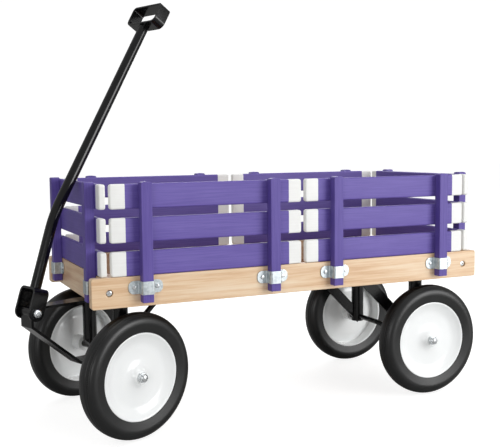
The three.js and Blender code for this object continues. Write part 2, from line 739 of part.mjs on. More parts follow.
// Tie bar lying along X through the origin, three pin holes.
function tieBar() {
  const low = AXLE_Z + BAR_BOTTOM;
  const high = low + BAR_THICK;
  const reach = KINGPIN_X;
  let bar = join([
    block(-reach, reach, -BAR_HALF_WIDTH, BAR_HALF_WIDTH, low, high),
    post(-reach, 0, low, high, BAR_EYE_RADIUS),
    post(reach, 0, low, high, BAR_EYE_RADIUS),
  ]);
  for (const [x, radius] of [[-reach, KNUCKLE_PIN_HOLE], [0, YOKE_PIN_HOLE], [reach, KNUCKLE_PIN_HOLE]]) {
    bar = bar.subtract(post(x, 0, low - CUT, high + CUT, radius, THIN_ROD_STEPS));
  }
  return surface(bar);
}

// Steering yoke about the king bolts: plate, nose, sloping strap and rearward arm.
function steeringYoke() {
  const nose = TONGUE_REACH + NOSE_OVERHANG;
  const top = BED_Z - YOKE_TOP_DROP;
  const plateLow = top - YOKE_PLATE;
  const armLow = AXLE_Z + ARM_BOTTOM;
  const armTop = armLow + ARM_THICK;
  const noseLow = BED_Z - NOSE_DROP;
  const slope = (noseLow - armLow) / (nose - YOKE_KNEE);
  const rise = YOKE_STRAP * Math.hypot(1, slope);
  const innerNose = nose - YOKE_STRAP;
  const strap = [
    [-nose, top],
    [-nose, noseLow],
    [-YOKE_KNEE, armLow],
    [0, armLow],
    [0, armTop],
    [-(nose - (noseLow + rise - armTop) / slope), armTop],
    [-innerNose, noseLow + rise - YOKE_STRAP * slope],
    [-innerNose, top],
  ];
  const wide = YOKE_HALF_WIDTH;
  const boss = YOKE_BOSS_RADIUS;
  const waist = YOKE_WAIST_HALF_WIDTH;
  const plan = [
    [boss, 0],
    [boss, -YOKE_SHOULDER_START],
    [waist, YOKE_WAIST_START - nose],
    [waist, YOKE_WAIST_END - nose],
    [wide, YOKE_NOSE_START - nose],
    [wide, -nose],
  ];
  const outline = [...plan, ...plan.slice().reverse().map(([x, y]) => [-x, y])];
  const pinFoot = AXLE_Z + PIN_HEAD_BOTTOM;
  const shapes = [
    solid(sideSlab(strap, -wide, wide)),
    solid(slab(outline, plateLow, top)),
    post(0, 0, plateLow, top, boss, YOKE_BOSS_STEPS),
    post(0, 0, top - OVERLAP, PLATE_BOTTOM - GAP, YOKE_SPACER_RADIUS),
    post(0, 0, armLow, armTop, wide, YOKE_BOSS_STEPS),
    block(-ARM_HALF_WIDTH, ARM_HALF_WIDTH, 0, ARM_LENGTH, armLow, armTop),
    post(0, ARM_LENGTH, armLow, armTop, ARM_HALF_WIDTH),
    post(0, ARM_LENGTH, pinFoot, armLow + OVERLAP, PIN_RADIUS, PIN_STEPS),
    post(0, ARM_LENGTH, pinFoot, AXLE_Z + PIN_HEAD_TOP, PIN_HEAD_RADIUS, PIN_STEPS),
  ];
  const barrel = FORK_HALF_WIDTH - FORK_SHEET - GAP;
  const boltAt = [-TONGUE_REACH, PIN_HEIGHT];
  shapes.push(rod([-barrel, ...boltAt], [barrel, ...boltAt], NOSE_BARREL_RADIUS));
  const kingBore = post(0, 0, armLow - CUT, PLATE_BOTTOM, KING_BORE_RADIUS);
  const boltBore = rod([-barrel - CUT, ...boltAt], [barrel + CUT, ...boltAt], BOLT_HOLE, THIN_ROD_STEPS);
  return surface(join(shapes).subtract(kingBore).subtract(boltBore));
}

// Bolt through the yoke's nose and the handle's fork, along X through the origin.
function handleBolt() {
  const face = FORK_HALF_WIDTH + GAP;
  return surface(join([
    rod([-face - BOLT_HEAD, 0, 0], [face + BOLT_HEAD, 0, 0], BOLT_RADIUS, THIN_ROD_STEPS),
    rod([face, 0, 0], [face + BOLT_HEAD, 0, 0], BOLT_HEAD_RADIUS, THIN_ROD_STEPS),
    rod([-face - BOLT_HEAD, 0, 0], [-face, 0, 0], BOLT_HEAD_RADIUS, HEX),
  ]));
}

// Flat-bar fork at the foot of the handle, pivot at the origin, legs along Z.
function fork() {
  const low = -FORK_BAR;
  const height = FORK_HEIGHT - low;
  const middle = low + height / 2;
  const ease = FORK_FOOT_EASE;
  const around = roundedOutline(2 * FORK_HALF_WIDTH, height, ease, FORK_BEND, FULL_CORNER);
  const hollowWidth = 2 * (FORK_HALF_WIDTH - FORK_SHEET);
  const within = roundedOutline(hollowWidth, height, ease, FORK_BEND - FORK_SHEET, FULL_CORNER);
  const depth = FORK_BAR / 2;
  const outer = slab(around, -depth, depth).rotateX(Math.PI / 2).translate(0, 0, middle);
  const inner = slab(within, -depth - CUT, depth + CUT).rotateX(Math.PI / 2);
  inner.translate(0, 0, middle - FORK_SHEET);
  const legs = [];
  for (let step = 0; step <= FORK_FOOT_STEPS; step += 1) {
    const angle = Math.PI * (1 + step / FORK_FOOT_STEPS);
    legs.push([depth * Math.cos(angle), depth * Math.sin(angle)]);
  }
  legs.push([depth, FORK_HEIGHT + CUT], [-depth, FORK_HEIGHT + CUT]);
  const reach = FORK_HALF_WIDTH + CUT;
  const trimmed = solid(outer).subtract(solid(inner)).intersect(solid(sideSlab(legs, -reach, reach)));
  return trimmed.subtract(rod([-reach, 0, 0], [reach, 0, 0], BOLT_HOLE, THIN_ROD_STEPS));
}

// Line of the handle's tube above the pivot: straight, gentle bend back, straight.
function handleLine() {
  const run = BEND_RADIUS * Math.tan(HANDLE_BEND / 2);
  const turnAt = LOWER_LENGTH;
  const back = new THREE.Vector3(0, Math.sin(HANDLE_BEND), Math.cos(HANDLE_BEND));
  const corner = new THREE.Vector3(0, 0, turnAt);
  const bendStart = new THREE.Vector3(0, 0, turnAt - run);
  const bendEnd = corner.clone().addScaledVector(back, run);
  const start = new THREE.Vector3(0, 0, FORK_HEIGHT - HANDLE_TUBE_SINK);
  const end = corner.clone().addScaledVector(back, UPPER_LENGTH + HANDLE_TUBE_SINK);
  const line = new THREE.CurvePath();
  line.add(new THREE.LineCurve3(start, bendStart));
  line.add(new THREE.QuadraticBezierCurve3(bendStart, corner, bendEnd));
  line.add(new THREE.LineCurve3(bendEnd, end));
  return { line, corner };
}

// Pull handle in one piece: fork, bent tube and flat-band loop grip.
function pullHandle() {
  const { line, corner } = handleLine();
  const circle = new THREE.Shape();
  circle.absarc(0, 0, HANDLE_TUBE_RADIUS, 0, 2 * Math.PI);
  const tube = new THREE.ExtrudeGeometry(circle, {
    steps: HANDLE_TUBE_STEPS,
    curveSegments: HANDLE_TUBE_SIDES / 2,
    bevelEnabled: false,
    extrudePath: line,
  });
  const around = roundedOutline(GRIP_WIDTH, GRIP_HEIGHT, GRIP_BOTTOM_CORNER, GRIP_TOP_CORNER, FULL_CORNER);
  const within = roundedOutline(
    GRIP_WIDTH - 2 * GRIP_SHEET,
    GRIP_HEIGHT - 2 * GRIP_SHEET,
    GRIP_BOTTOM_CORNER - GRIP_SHEET,
    GRIP_TOP_CORNER - GRIP_SHEET,
    FULL_CORNER,
  );
  const half = GRIP_BAND / 2;
  const palm = solid(slab(within, -half - CUT, half + CUT));
  const grip = surface(solid(slab(around, -half, half)).subtract(palm));
  grip.rotateX(Math.PI / 2);
  grip.translate(0, 0, UPPER_LENGTH + GRIP_HEIGHT / 2);
  grip.rotateX(-HANDLE_BEND);
  grip.translate(...corner.toArray());
  return surface(join([fork(), solid(tube), solid(grip)]));
}

// Lean of the handle's upper tube when it rests on the front rack's top edge.
// The lean leaves the tube clear of that edge at full steering lock as well.
function restLean() {
  const ahead = TONGUE_REACH + CROSS_FRONT / Math.cos(STEER_LOCK);
  const above = RACK_TOP - PIN_HEIGHT;
  const distance = Math.hypot(ahead, above);
  const offset = LOWER_LENGTH * Math.sin(HANDLE_BEND);
  let lean = HANDLE_BEND;
  for (let round = 0; round < LEAN_ROUNDS; round += 1) {
    const skew = Math.sin(lean) * Math.sin(STEER_LOCK);
    const clear = (HANDLE_TUBE_RADIUS + GAP) * Math.sqrt(1 - skew * skew) / Math.cos(STEER_LOCK);
    lean = Math.atan2(ahead, above) - Math.asin((clear - offset) / distance);
  }
  return lean;
}

// Steering parts and the handle, all at the resting steering angle.
function addSteering() {
  const turn = steer(REST_STEER);
  addPiece('steering_yoke', steeringYoke(), 'black', turn);
  const left = knuckle();
  for (const [side, sign, shape] of [['left', 1, left], ['right', -1, mirrored(left)]]) {
    const place = steer(REST_STEER, sign * KINGPIN_X, 0).multiply(shift(sign * KINGPIN_X, 0, 0));
    addPiece(`knuckle_${side}`, shape, 'black', place);
  }
  const armX = -ARM_LENGTH * Math.sin(REST_STEER);
  const armY = ARM_LENGTH * Math.cos(REST_STEER);
  addPiece('tie_bar', tieBar(), 'black', shift(armX, armY, 0));
  const pivot = turn.clone().multiply(shift(0, -TONGUE_REACH, PIN_HEIGHT));
  addPiece('handle_bolt', handleBolt(), 'zinc', pivot);
  const lean = new THREE.Matrix4().makeRotationX(HANDLE_BEND - restLean());
  addPiece('pull_handle', pullHandle(), 'black', pivot.clone().multiply(lean));
}

addBed();
addSideRacks();
const rack = endRack();
addPiece('end_rack_front', rack, 'purple');
addPiece('end_rack_rear', rack.clone(), 'purple', aboutMiddle());
addBrackets();
addWheels();
addPiece('front_undercarriage', frontUndercarriage(), 'black');
addPiece('rear_undercarriage', rearUndercarriage(), 'black');
addPiece('rear_axle', rearAxle(), 'black', shift(0, WHEELBASE, AXLE_Z));
addSteering();

// The finished part's origin is the middle of its footprint, on the ground.
const extent = new THREE.Box3().setFromObject(wagon, true);
const middle = extent.getCenter(new THREE.Vector3());
wagon.position.set(-middle.x, -middle.y, -extent.min.z);

export default wagon;
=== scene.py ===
import json
import math

import bmesh
import bpy
from mathutils import Matrix, Vector


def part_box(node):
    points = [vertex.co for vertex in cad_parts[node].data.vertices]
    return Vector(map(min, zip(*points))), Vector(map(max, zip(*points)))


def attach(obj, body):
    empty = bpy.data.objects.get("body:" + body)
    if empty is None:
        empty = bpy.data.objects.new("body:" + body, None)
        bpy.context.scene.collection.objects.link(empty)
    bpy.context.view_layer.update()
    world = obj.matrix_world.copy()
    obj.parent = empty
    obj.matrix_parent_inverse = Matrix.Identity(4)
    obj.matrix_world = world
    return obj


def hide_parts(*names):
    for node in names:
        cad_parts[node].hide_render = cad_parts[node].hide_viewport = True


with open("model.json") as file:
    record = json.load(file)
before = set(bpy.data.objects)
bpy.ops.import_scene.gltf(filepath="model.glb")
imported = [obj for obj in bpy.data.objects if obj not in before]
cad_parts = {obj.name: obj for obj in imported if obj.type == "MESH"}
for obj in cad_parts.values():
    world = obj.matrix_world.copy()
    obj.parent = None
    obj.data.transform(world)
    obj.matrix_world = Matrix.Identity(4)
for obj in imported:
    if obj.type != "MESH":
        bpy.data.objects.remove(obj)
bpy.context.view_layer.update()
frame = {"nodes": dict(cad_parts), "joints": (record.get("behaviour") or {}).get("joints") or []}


# ---- Side rails ------------------------------------------------------------
# Two long rails of pale ash carry the bed. Each is a planed board with its
# corners rounded over, counterbored near both ends for the socket-head bolts
# that pull it onto the cross rails, then clear coated.

# Faces that meet at less than this are shaded as one smooth surface.
SMOOTH_BELOW = math.radians(50)
# Edges sharper than this are broken by a small radius.
BREAK_ABOVE = math.radians(35)


def deselect_all():
    """Leaves edit mode and leaves nothing selected."""
    if bpy.context.object and bpy.context.object.mode != "OBJECT":
        bpy.ops.object.mode_set(mode="OBJECT")
    bpy.ops.object.select_all(action="DESELECT")


def take_up(piece):
    """Makes one piece the only selected and the active one."""
    deselect_all()
    bpy.context.view_layer.objects.active = piece
    piece.select_set(True)


def new_board(name, low, high):
    """A plain board between two corners, its place in its mesh."""
    deselect_all()
    bpy.ops.mesh.primitive_cube_add(size=1, location=(Vector(low) + Vector(high)) / 2)
    piece = bpy.context.object
    piece.name = piece.data.name = name
    piece.scale = Vector(high) - Vector(low)
    bpy.ops.object.transform_apply(location=True, rotation=True, scale=True)
    return piece


def pick(piece, kind, test):
    """Opens a piece for editing with only its parts of that kind that pass the test selected."""
    take_up(piece)
    bpy.ops.object.mode_set(mode="EDIT")
    bpy.ops.mesh.select_mode(type=kind)
    bpy.ops.mesh.select_all(action="DESELECT")
    shell = bmesh.from_edit_mesh(piece.data)
    parts = {"VERT": shell.verts, "EDGE": shell.edges, "FACE": shell.faces}[kind]
    for part in parts:
        if test(part):
            part.select_set(True)
    shell.select_flush_mode()
    bmesh.update_edit_mesh(piece.data)


def runs_along(edge, axis):
    """True for an edge that lies along X, Y or Z, given as 0, 1 or 2."""
    step = (edge.verts[1].co - edge.verts[0].co).normalized()
    return abs(step[axis]) > 0.999


def round_over(piece, test, width, segments):
    """Rounds the chosen edges over, as a router does."""
    pick(piece, "EDGE", test)
    bpy.ops.mesh.bevel(offset=width, segments=segments, affect="EDGES")
    bpy.ops.object.mode_set(mode="OBJECT")


def new_rod(name, sides, radius, middle, length, turn=(0, 0, 0)):
    """A plain rod with that many sides about a middle point, its place in its mesh."""
    deselect_all()
    bpy.ops.mesh.primitive_cylinder_add(
        vertices=sides, radius=radius, depth=length, location=middle, rotation=turn)
    piece = bpy.context.object
    piece.name = piece.data.name = name
    bpy.ops.object.transform_apply(location=True, rotation=True, scale=True)
    return piece


def cut_away(piece, tool):
    """Cuts one closed shape out of a piece and throws the cutting shape away."""
    take_up(piece)
    cut = piece.modifiers.new("cut", "BOOLEAN")
    cut.operation, cut.solver, cut.object = "DIFFERENCE", "EXACT", tool
    bpy.ops.object.modifier_apply(modifier=cut.name)
    bpy.data.objects.remove(tool)


def drill(piece, start, end, radius):
    """Bores a round hole from one point to another."""
    start, end = Vector(start), Vector(end)
    run = end - start
    turn = run.to_track_quat("Z", "Y").to_euler()
    cut_away(piece, new_rod("drill_bit", 40, radius, (start + end) / 2, run.length, turn))


def smooth(piece):
    """Shades a piece smooth between its sharp corners and keeps its flat faces flat."""
    take_up(piece)
    bpy.ops.object.shade_smooth_by_angle(angle=SMOOTH_BELOW)
    flats = piece.modifiers.new("flat faces stay flat", "WEIGHTED_NORMAL")
    flats.keep_sharp = True
    bpy.ops.object.modifier_apply(modifier=flats.name)


def ease(piece, width, segments=2):
    """Breaks the sharp edges by a small radius, then smooths the piece."""
    take_up(piece)
    edge = piece.modifiers.new("eased edges", "BEVEL")
    edge.width, edge.segments = width, segments
    edge.limit_method, edge.angle_limit = "ANGLE", BREAK_ABOVE
    bpy.ops.object.modifier_apply(modifier=edge.name)
    smooth(piece)


def twin(piece, name, move):
    """A copy with its own mesh, moved by a matrix, faces kept outward when it is mirrored."""
    copy = piece.copy()
    copy.data = piece.data.copy()
    copy.name = copy.data.name = name
    bpy.context.scene.collection.objects.link(copy)
    copy.data.transform(move)
    if move.determinant() < 0:
        copy.data.flip_normals()
    return copy


def paint(piece, *finishes):
    """Gives a piece its materials in order."""
    for finish in finishes:
        piece.data.materials.append(finish)


def settle(piece, body, slot, *solids):
    """Hands a finished piece to its body, with the plain solids that it stands for."""
    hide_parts(*solids)
    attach(piece, body)


def linear(hex_colour):
    """Linear RGBA of an sRGB hex colour."""
    parts = [int(hex_colour[k:k + 2], 16) / 255 for k in (1, 3, 5)]
    return [c / 12.92 if c <= 0.04045 else ((c + 0.055) / 1.055) ** 2.4 for c in parts] + [1.0]


def link_inputs(tree, node, links):
    """Feeds a node's inputs, named by key, from other nodes' outputs."""
    for key, source in links.items():
        tree.links.new(source, node.inputs[key])


def add_node(tree, kind, settings=None, links=None):
    """Adds a node, sets its properties, inputs or colour stops, and links its inputs."""
    node = tree.nodes.new(kind)
    for key, value in (settings or {}).items():
        if key == "stops":
            stops = node.color_ramp.elements
            while len(stops) < len(value):
                stops.new(0.5)
            for stop, (place, colour) in zip(stops, value):
                stop.position, stop.color = place, linear(colour)
        elif hasattr(node, key):
            setattr(node, key, value)
        else:
            node.inputs[key].default_value = value
    link_inputs(tree, node, links or {})
    return node


def new_finish(name, settings):
    """A named material: returns it with its tree, its shader and the object coordinates."""
    finish = bpy.data.materials.new(name)
    finish.use_nodes = True
    tree = finish.node_tree
    shader = tree.nodes["Principled BSDF"]
    for key, value in settings.items():
        shader.inputs[key].default_value = value
    spot = add_node(tree, "ShaderNodeTexCoord").outputs["Object"]
    return finish, tree, shader, spot


def clear_coated_ash(name, along, pale, mid, dark):
    """Planed ash under clear lacquer, its grain along X, Y or Z, given as 0, 1 or 2.

    Early-wood pores 1.2 mm wide run for about 45 mm; the growth figure is 9 mm wide
    and 260 mm long. The lacquer fills the pores, so the surface stays nearly flat.
    """
    pore_width, pore_length = 0.0012, 0.045
    figure_width, figure_length = 0.009, 0.26
    finish, tree, shader, spot = new_finish(
        name, {"Roughness": 0.42, "Coat Weight": 0.35, "Coat Roughness": 0.18})
    fine = [1 / pore_width] * 3
    fine[along] = 1 / pore_length
    broad = [1 / figure_width] * 3
    broad[along] = 1 / figure_length
    fine_spot = add_node(tree, "ShaderNodeMapping", {"Scale": fine}, {"Vector": spot})
    pores = add_node(
        tree, "ShaderNodeTexNoise",
        {"Scale": 1.0, "Detail": 4.0, "Roughness": 0.65},
        {"Vector": fine_spot.outputs["Vector"]})
    broad_spot = add_node(tree, "ShaderNodeMapping", {"Scale": broad}, {"Vector": spot})
    figure = add_node(
        tree, "ShaderNodeTexNoise",
        {"Scale": 1.0, "Detail": 3.0, "Roughness": 0.5, "Distortion": 0.6},
        {"Vector": broad_spot.outputs["Vector"]})
    tone = add_node(
        tree, "ShaderNodeMix", {"data_type": "FLOAT", "Factor": 0.35},
        {"A": figure.outputs["Fac"], "B": pores.outputs["Fac"]})
    colour = add_node(
        tree, "ShaderNodeValToRGB",
        {"stops": [(0.36, dark), (0.5, mid), (0.64, pale)]},
        {"Fac": tone.outputs["Result"]})
    relief = add_node(
        tree, "ShaderNodeBump", {"Strength": 0.12, "Distance": 0.0003},
        {"Height": pores.outputs["Fac"]})
    link_inputs(tree, shader, {
        "Base Color": colour.outputs["Color"],
        "Normal": relief.outputs["Normal"]})
    return finish


RAIL_CORNER = 0.005
RAIL_EASE = 0.0016
BOLT_SEAT_RADIUS = 0.0068
BOLT_SEAT_DEPTH = 0.0066
DRILL_OVERRUN = 0.01

rail_ash = clear_coated_ash(
    "clear coated ash, rails", along=1, pale="#efd7b9", mid="#e7c6a0", dark="#d8af86")
rail_low, rail_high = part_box("side_rail_left")
cross_low, cross_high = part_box("cross_rail_front")
bed_middle = (rail_low.y + rail_high.y) / 2
rail_middle = (rail_low.z + rail_high.z) / 2
seat_floor = rail_high.x - BOLT_SEAT_DEPTH
# The bolts run into the middle of the cross rails' thickness.
front_bolt = (cross_low.y + cross_high.y) / 2
bolt_places = (front_bolt, 2 * bed_middle - front_bolt)

rail = new_board("rail_left", rail_low, rail_high)
round_over(rail, lambda edge: runs_along(edge, 0), RAIL_CORNER, 6)
for y in bolt_places:
    mouth = (rail_high.x + DRILL_OVERRUN, y, rail_middle)
    drill(rail, (seat_floor, y, rail_middle), mouth, BOLT_SEAT_RADIUS)
ease(rail, RAIL_EASE, 3)
paint(rail, rail_ash)
mirrored = Matrix.Diagonal((-1, 1, 1, 1))
settle(rail, "bed", "clear_coated_wood", "side_rail_left")
settle(twin(rail, "rail_right", mirrored), "bed", "clear_coated_wood", "side_rail_right")


# ---- Rail bolts ------------------------------------------------------------
# A bright socket-head bolt sits in each counterbore. It is turned from steel
# rod, its edge rounded off round the socket, and zinc plated.

def zinc_plate(name, dark, pale, roughness, spangle):
    """Bright zinc on steel: a cool silver with faint crystal spangles a few millimetres wide."""
    finish, tree, shader, spot = new_finish(name, {"Metallic": 1.0})
    crystals = add_node(
        tree, "ShaderNodeTexNoise", {"Scale": 1 / spangle, "Detail": 2.0}, {"Vector": spot})
    colour = add_node(
        tree, "ShaderNodeValToRGB", {"stops": [(0.35, dark), (0.65, pale)]},
        {"Fac": crystals.outputs["Fac"]})
    shine = add_node(
        tree, "ShaderNodeMapRange",
        {"To Min": roughness - 0.06, "To Max": roughness + 0.08},
        {"Value": crystals.outputs["Fac"]})
    link_inputs(tree, shader, {
        "Base Color": colour.outputs["Color"],
        "Roughness": shine.outputs["Result"]})
    return finish


def round_head(name, radius, height, recess, sides):
    """A low round screw or bolt head on the origin, facing +Z, with a sunk socket."""
    rounding = height * 0.38
    socket_radius = radius * 0.42
    near_top = height * 0.9
    head = new_rod(name, 24, radius, (0, 0, height / 2), height)
    round_over(head, lambda edge: min(v.co.z for v in edge.verts) > near_top, rounding, 3)
    cut_away(head, new_rod("socket", sides, socket_radius, (0, 0, height), recess * 2))
    bpy.ops.object.shade_smooth_by_angle(angle=math.radians(40))
    return head


BOLT_HEAD_RADIUS = 0.0058
BOLT_HEAD_HEIGHT = 0.0034
BOLT_SOCKET_DEPTH = 0.0022
# The front bolts stand a little prouder of their seats than the rear ones.
FRONT_BOLT_RISE = 0.0016

bright_zinc = zinc_plate("bright zinc plate, fasteners", "#cdd1d4", "#eceff0", 0.26, 0.003)
bolt_head = round_head(
    "bolt_head_pattern", BOLT_HEAD_RADIUS, BOLT_HEAD_HEIGHT, BOLT_SOCKET_DEPTH, 6)
paint(bolt_head, bright_zinc)
for number, (y, rise) in enumerate(zip(bolt_places, (FRONT_BOLT_RISE, 0)), start=1):
    for side, sign in (("left", 1), ("right", -1)):
        stand = Matrix.Translation((sign * (seat_floor + rise), y, rail_middle))
        facing_out = Matrix.Rotation(sign * math.pi / 2, 4, "Y")
        bolt = twin(bolt_head, f"rail_bolt_{side}_{number}", stand @ facing_out)
        settle(bolt, "bed", "zinc_plate")
bpy.data.objects.remove(bolt_head)


# ---- Cross rails -----------------------------------------------------------
# Two thicker ash boards close the ends of the bed between the side rails. They
# are cut from the same stock, so they show the same pale grain, now crosswise.

cross_ash = clear_coated_ash(
    "clear coated ash, cross rails", along=0, pale="#f0d3ac", mid="#e6c095", dark="#d6a97b")
for end in ("front", "rear"):
    board = new_board(f"cross_board_{end}", *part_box(f"cross_rail_{end}"))
    ease(board, RAIL_EASE, 3)
    paint(board, cross_ash)
    settle(board, "bed", "clear_coated_wood", f"cross_rail_{end}")


# ---- Deck ------------------------------------------------------------------
# The floor of the bed is a tongue-and-groove pine panel under a brown varnish.
# Its brown is darkened well past the rails' pale ash as painted shade for the bed's shaded inside.
# Its boards run lengthwise and meet in fine V grooves.

def bisect_at(piece, place, normal):
    """Cuts an edge loop round the whole piece where a plane meets it."""
    pick(piece, "FACE", lambda face: True)
    bpy.ops.mesh.bisect(plane_co=place, plane_no=normal)
    bpy.ops.object.mode_set(mode="OBJECT")


# Two places closer than this count as the same when points are picked.
NEAR = 1e-4
BOARD_WIDTH = 0.0594
GROOVE_HALF = 0.0014
GROOVE_DEPTH = 0.0018

# The deck's dark brown is partly varnish and partly painted shade, standing in for the shade inside the
# bed.
deck_brown_and_painted_shade = clear_coated_ash(
    "brown varnished pine darkened as painted shade, deck", along=1, pale="#a8703e", mid="#8f5a2f", dark="#6f4022")
deck_low, deck_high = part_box("deck_panel")
deck = new_board("deck_boards", deck_low, deck_high)
grooves = [row * BOARD_WIDTH for row in range(-2, 3)]
for x in grooves:
    for offset in (-GROOVE_HALF, 0, GROOVE_HALF):
        bisect_at(deck, (x + offset, 0, 0), (1, 0, 0))
pick(deck, "VERT", lambda v: v.co.z > deck_high.z - NEAR and any(abs(v.co.x - x) < NEAR for x in grooves))
bpy.ops.transform.translate(value=(0, 0, -GROOVE_DEPTH))
smooth(deck)
paint(deck, deck_brown_and_painted_shade)
settle(deck, "bed", "varnished_wood", "deck_panel")


# ---- Rack slats ------------------------------------------------------------
# Each side rack has three slats of solid wood with rounded ends, sprayed in a
# satin purple and dipped at both ends in off-white paint.

def sprayed_wood(name, along, pale, dark, roughness, grain=0.25):
    """Satin enamel over wood: the grain shows through as faint streaks about 2 mm wide.

    The sprayed coat also varies a little in tone over patches about 70 mm across.
    """
    streak_width, streak_length = 0.0022, 0.09
    cloud_size = 0.0714
    finish, tree, shader, spot = new_finish(name, {"IOR": 1.4})
    fine = [1 / streak_width] * 3
    fine[along] = 1 / streak_length
    fine_spot = add_node(tree, "ShaderNodeMapping", {"Scale": fine}, {"Vector": spot})
    streaks = add_node(
        tree, "ShaderNodeTexNoise", {"Scale": 1.0, "Detail": 4.0, "Roughness": 0.6},
        {"Vector": fine_spot.outputs["Vector"]})
    clouds = add_node(
        tree, "ShaderNodeTexNoise", {"Scale": 1 / cloud_size, "Detail": 2.0}, {"Vector": spot})
    tone = add_node(
        tree, "ShaderNodeMix", {"data_type": "FLOAT", "Factor": 0.2},
        {"A": streaks.outputs["Fac"], "B": clouds.outputs["Fac"]})
    colour = add_node(
        tree, "ShaderNodeValToRGB", {"stops": [(0.35, dark), (0.65, pale)]},
        {"Fac": tone.outputs["Result"]})
    shine = add_node(
        tree, "ShaderNodeMapRange",
        {"To Min": roughness - 0.07, "To Max": roughness + 0.07},
        {"Value": streaks.outputs["Fac"]})
    relief = add_node(
        tree, "ShaderNodeBump", {"Strength": grain, "Distance": 0.0004},
        {"Height": streaks.outputs["Fac"]})
    link_inputs(tree, shader, {
        "Base Color": colour.outputs["Color"],
        "Roughness": shine.outputs["Result"],
        "Normal": relief.outputs["Normal"]})
    return finish


SLAT_CORNER = 0.0048
SLAT_EASE = 0.0032
SIDE_DIP = 0.030
ROWS = ("low", "mid", "top")

side_purple = sprayed_wood(
    "satin purple enamel, side slats", along=1, pale="#6d5dab", dark="#5d4d9d", roughness=0.5)
cross_purple = sprayed_wood(
    "satin purple enamel, end slats", along=0, pale="#6d5dab", dark="#5d4d9d", roughness=0.5)
off_white = sprayed_wood(
    "off-white enamel, slat ends", along=1, pale="#f3f4f1", dark="#efefec", roughness=0.45, grain=0.1)


def dipped_slat(name, low, high, along, dip, sprayed, dipped):
    """A slat between two corners with rounded ends, sprayed all over and dipped at both ends."""
    flat = 1 - along
    slat = new_board(name, low, high)
    round_over(slat, lambda edge: runs_along(edge, flat), SLAT_CORNER, 5)
    ease(slat, SLAT_EASE, 4)
    paint(slat, sprayed, dipped)
    lengthwise = Vector((0, 0, 0))
    lengthwise[along] = 1
    middle = (low + high) / 2
    clean_half = (high[along] - low[along]) / 2 - dip
    for sign in (-1, 1):
        bisect_at(slat, middle + lengthwise * sign * clean_half, lengthwise)
    for face in slat.data.polygons:
        if abs(face.center[along] - middle[along]) > clean_half:
            face.material_index = 1
    return slat


def middle_of(node):
    """The middle of a plain solid's box."""
    low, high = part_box(node)
    return (low + high) / 2


slat_low, slat_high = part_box("slat_left_front_low")
slat = dipped_slat("slat_pattern", slat_low, slat_high, 1, SIDE_DIP, side_purple, off_white)
for side in ("left", "right"):
    for part in ("front", "rear"):
        for row in ROWS:
            node = f"slat_{side}_{part}_{row}"
            move = Matrix.Translation(middle_of(node) - middle_of("slat_left_front_low"))
            settle(twin(slat, node + "_painted", move), f"rack_{side}_{part}", "purple_paint", node)
bpy.data.objects.remove(slat)


# ---- Rack posts ------------------------------------------------------------
# Upright stakes of the same purple wood stand outside the slats and drop into
# the brackets below. Their tops are sawn to a low arch.

POST_ARCH = 0.0025
POST_EASE = 0.0014


def arched_post(name, low, high, flat):
    """A stake between two corners whose top is arched across its width; flat is its thin axis."""
    post = new_board(name, low, high)
    wide = 1 - flat
    # Just short of half the width, so that the two rounded corners don't meet.
    shoulder = (high[wide] - low[wide]) / 2 * 0.96
    round_over(
        post,
        lambda edge: runs_along(edge, flat) and edge.verts[0].co.z > high.z - NEAR,
        shoulder, 7)
    pick(post, "VERT", lambda v: v.co.z > high.z - shoulder - NEAR)
    bpy.ops.transform.resize(value=(1, 1, POST_ARCH / shoulder), center_override=(0, 0, high.z))
    bpy.ops.object.mode_set(mode="OBJECT")
    ease(post, POST_EASE, 3)
    return post


post_purple = sprayed_wood(
    "satin purple enamel, posts", along=2, pale="#6858a6", dark="#584896", roughness=0.5)
post_low, post_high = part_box("post_left_front_1")
stake = arched_post("post_pattern", post_low, post_high, 0)
paint(stake, post_purple)
for side in ("left", "right"):
    for part in ("front", "rear"):
        for number in (1, 2):
            node = f"post_{side}_{part}_{number}"
            move = Matrix.Translation(middle_of(node) - middle_of("post_left_front_1"))
            settle(twin(stake, node + "_painted", move), f"rack_{side}_{part}", "purple_paint", node)
bpy.data.objects.remove(stake)


# ---- End racks -------------------------------------------------------------
# The front and rear racks are narrower gates of three slats on two stakes,
# made and painted in the same way and screwed together from the inside.

def fuse(name, parts):
    """Joins several parts into one piece under a new name."""
    take_up(parts[0])
    for part in parts:
        part.select_set(True)
    bpy.ops.object.join()
    piece = bpy.context.object
    piece.name = piece.data.name = name
    return piece


END_DIP = 0.023
END_POST_X = 0.150
GATE_GAP = 0.0003

gate_low, gate_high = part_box("end_rack_front")
slat_thick = slat_high.x - slat_low.x
post_deep = post_high.x - post_low.x
post_half = (post_high.y - post_low.y) / 2
slat_front = gate_low.y + post_deep + GATE_GAP
end_slat = dipped_slat(
    "end_slat_pattern",
    Vector((gate_low.x, slat_front, slat_low.z)),
    Vector((gate_high.x, slat_front + slat_thick, slat_high.z)),
    0, END_DIP, cross_purple, off_white)
end_stake = arched_post(
    "end_post_pattern",
    Vector((-post_half, gate_low.y, gate_low.z)),
    Vector((post_half, gate_low.y + post_deep, gate_high.z)),
    1)
paint(end_stake, post_purple)
gate_parts = []
for row in ROWS:
    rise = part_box(f"slat_left_front_{row}")[0].z - slat_low.z
    gate_parts.append(twin(end_slat, "end_slat", Matrix.Translation((0, 0, rise))))
for x in (-END_POST_X, END_POST_X):
    gate_parts.append(twin(end_stake, "end_post", Matrix.Translation((x, 0, 0))))
gate = fuse("end_gate_front", gate_parts)
half_turn = Matrix.Translation((0, 2 * bed_middle, 0)) @ Matrix.Rotation(math.pi, 4, "Z")
settle(twin(gate, "end_gate_rear", half_turn), "rack_rear", "purple_paint", "end_rack_rear")
settle(gate, "bed", "purple_paint", "end_rack_front")
for pattern in (end_slat, end_stake):
    bpy.data.objects.remove(pattern)


# ---- Post brackets ---------------------------------------------------------
# Each stake drops through a strap pressed from zinc-plated steel sheet: a
# square channel with a round-ended ear on both sides, screwed to the rail.

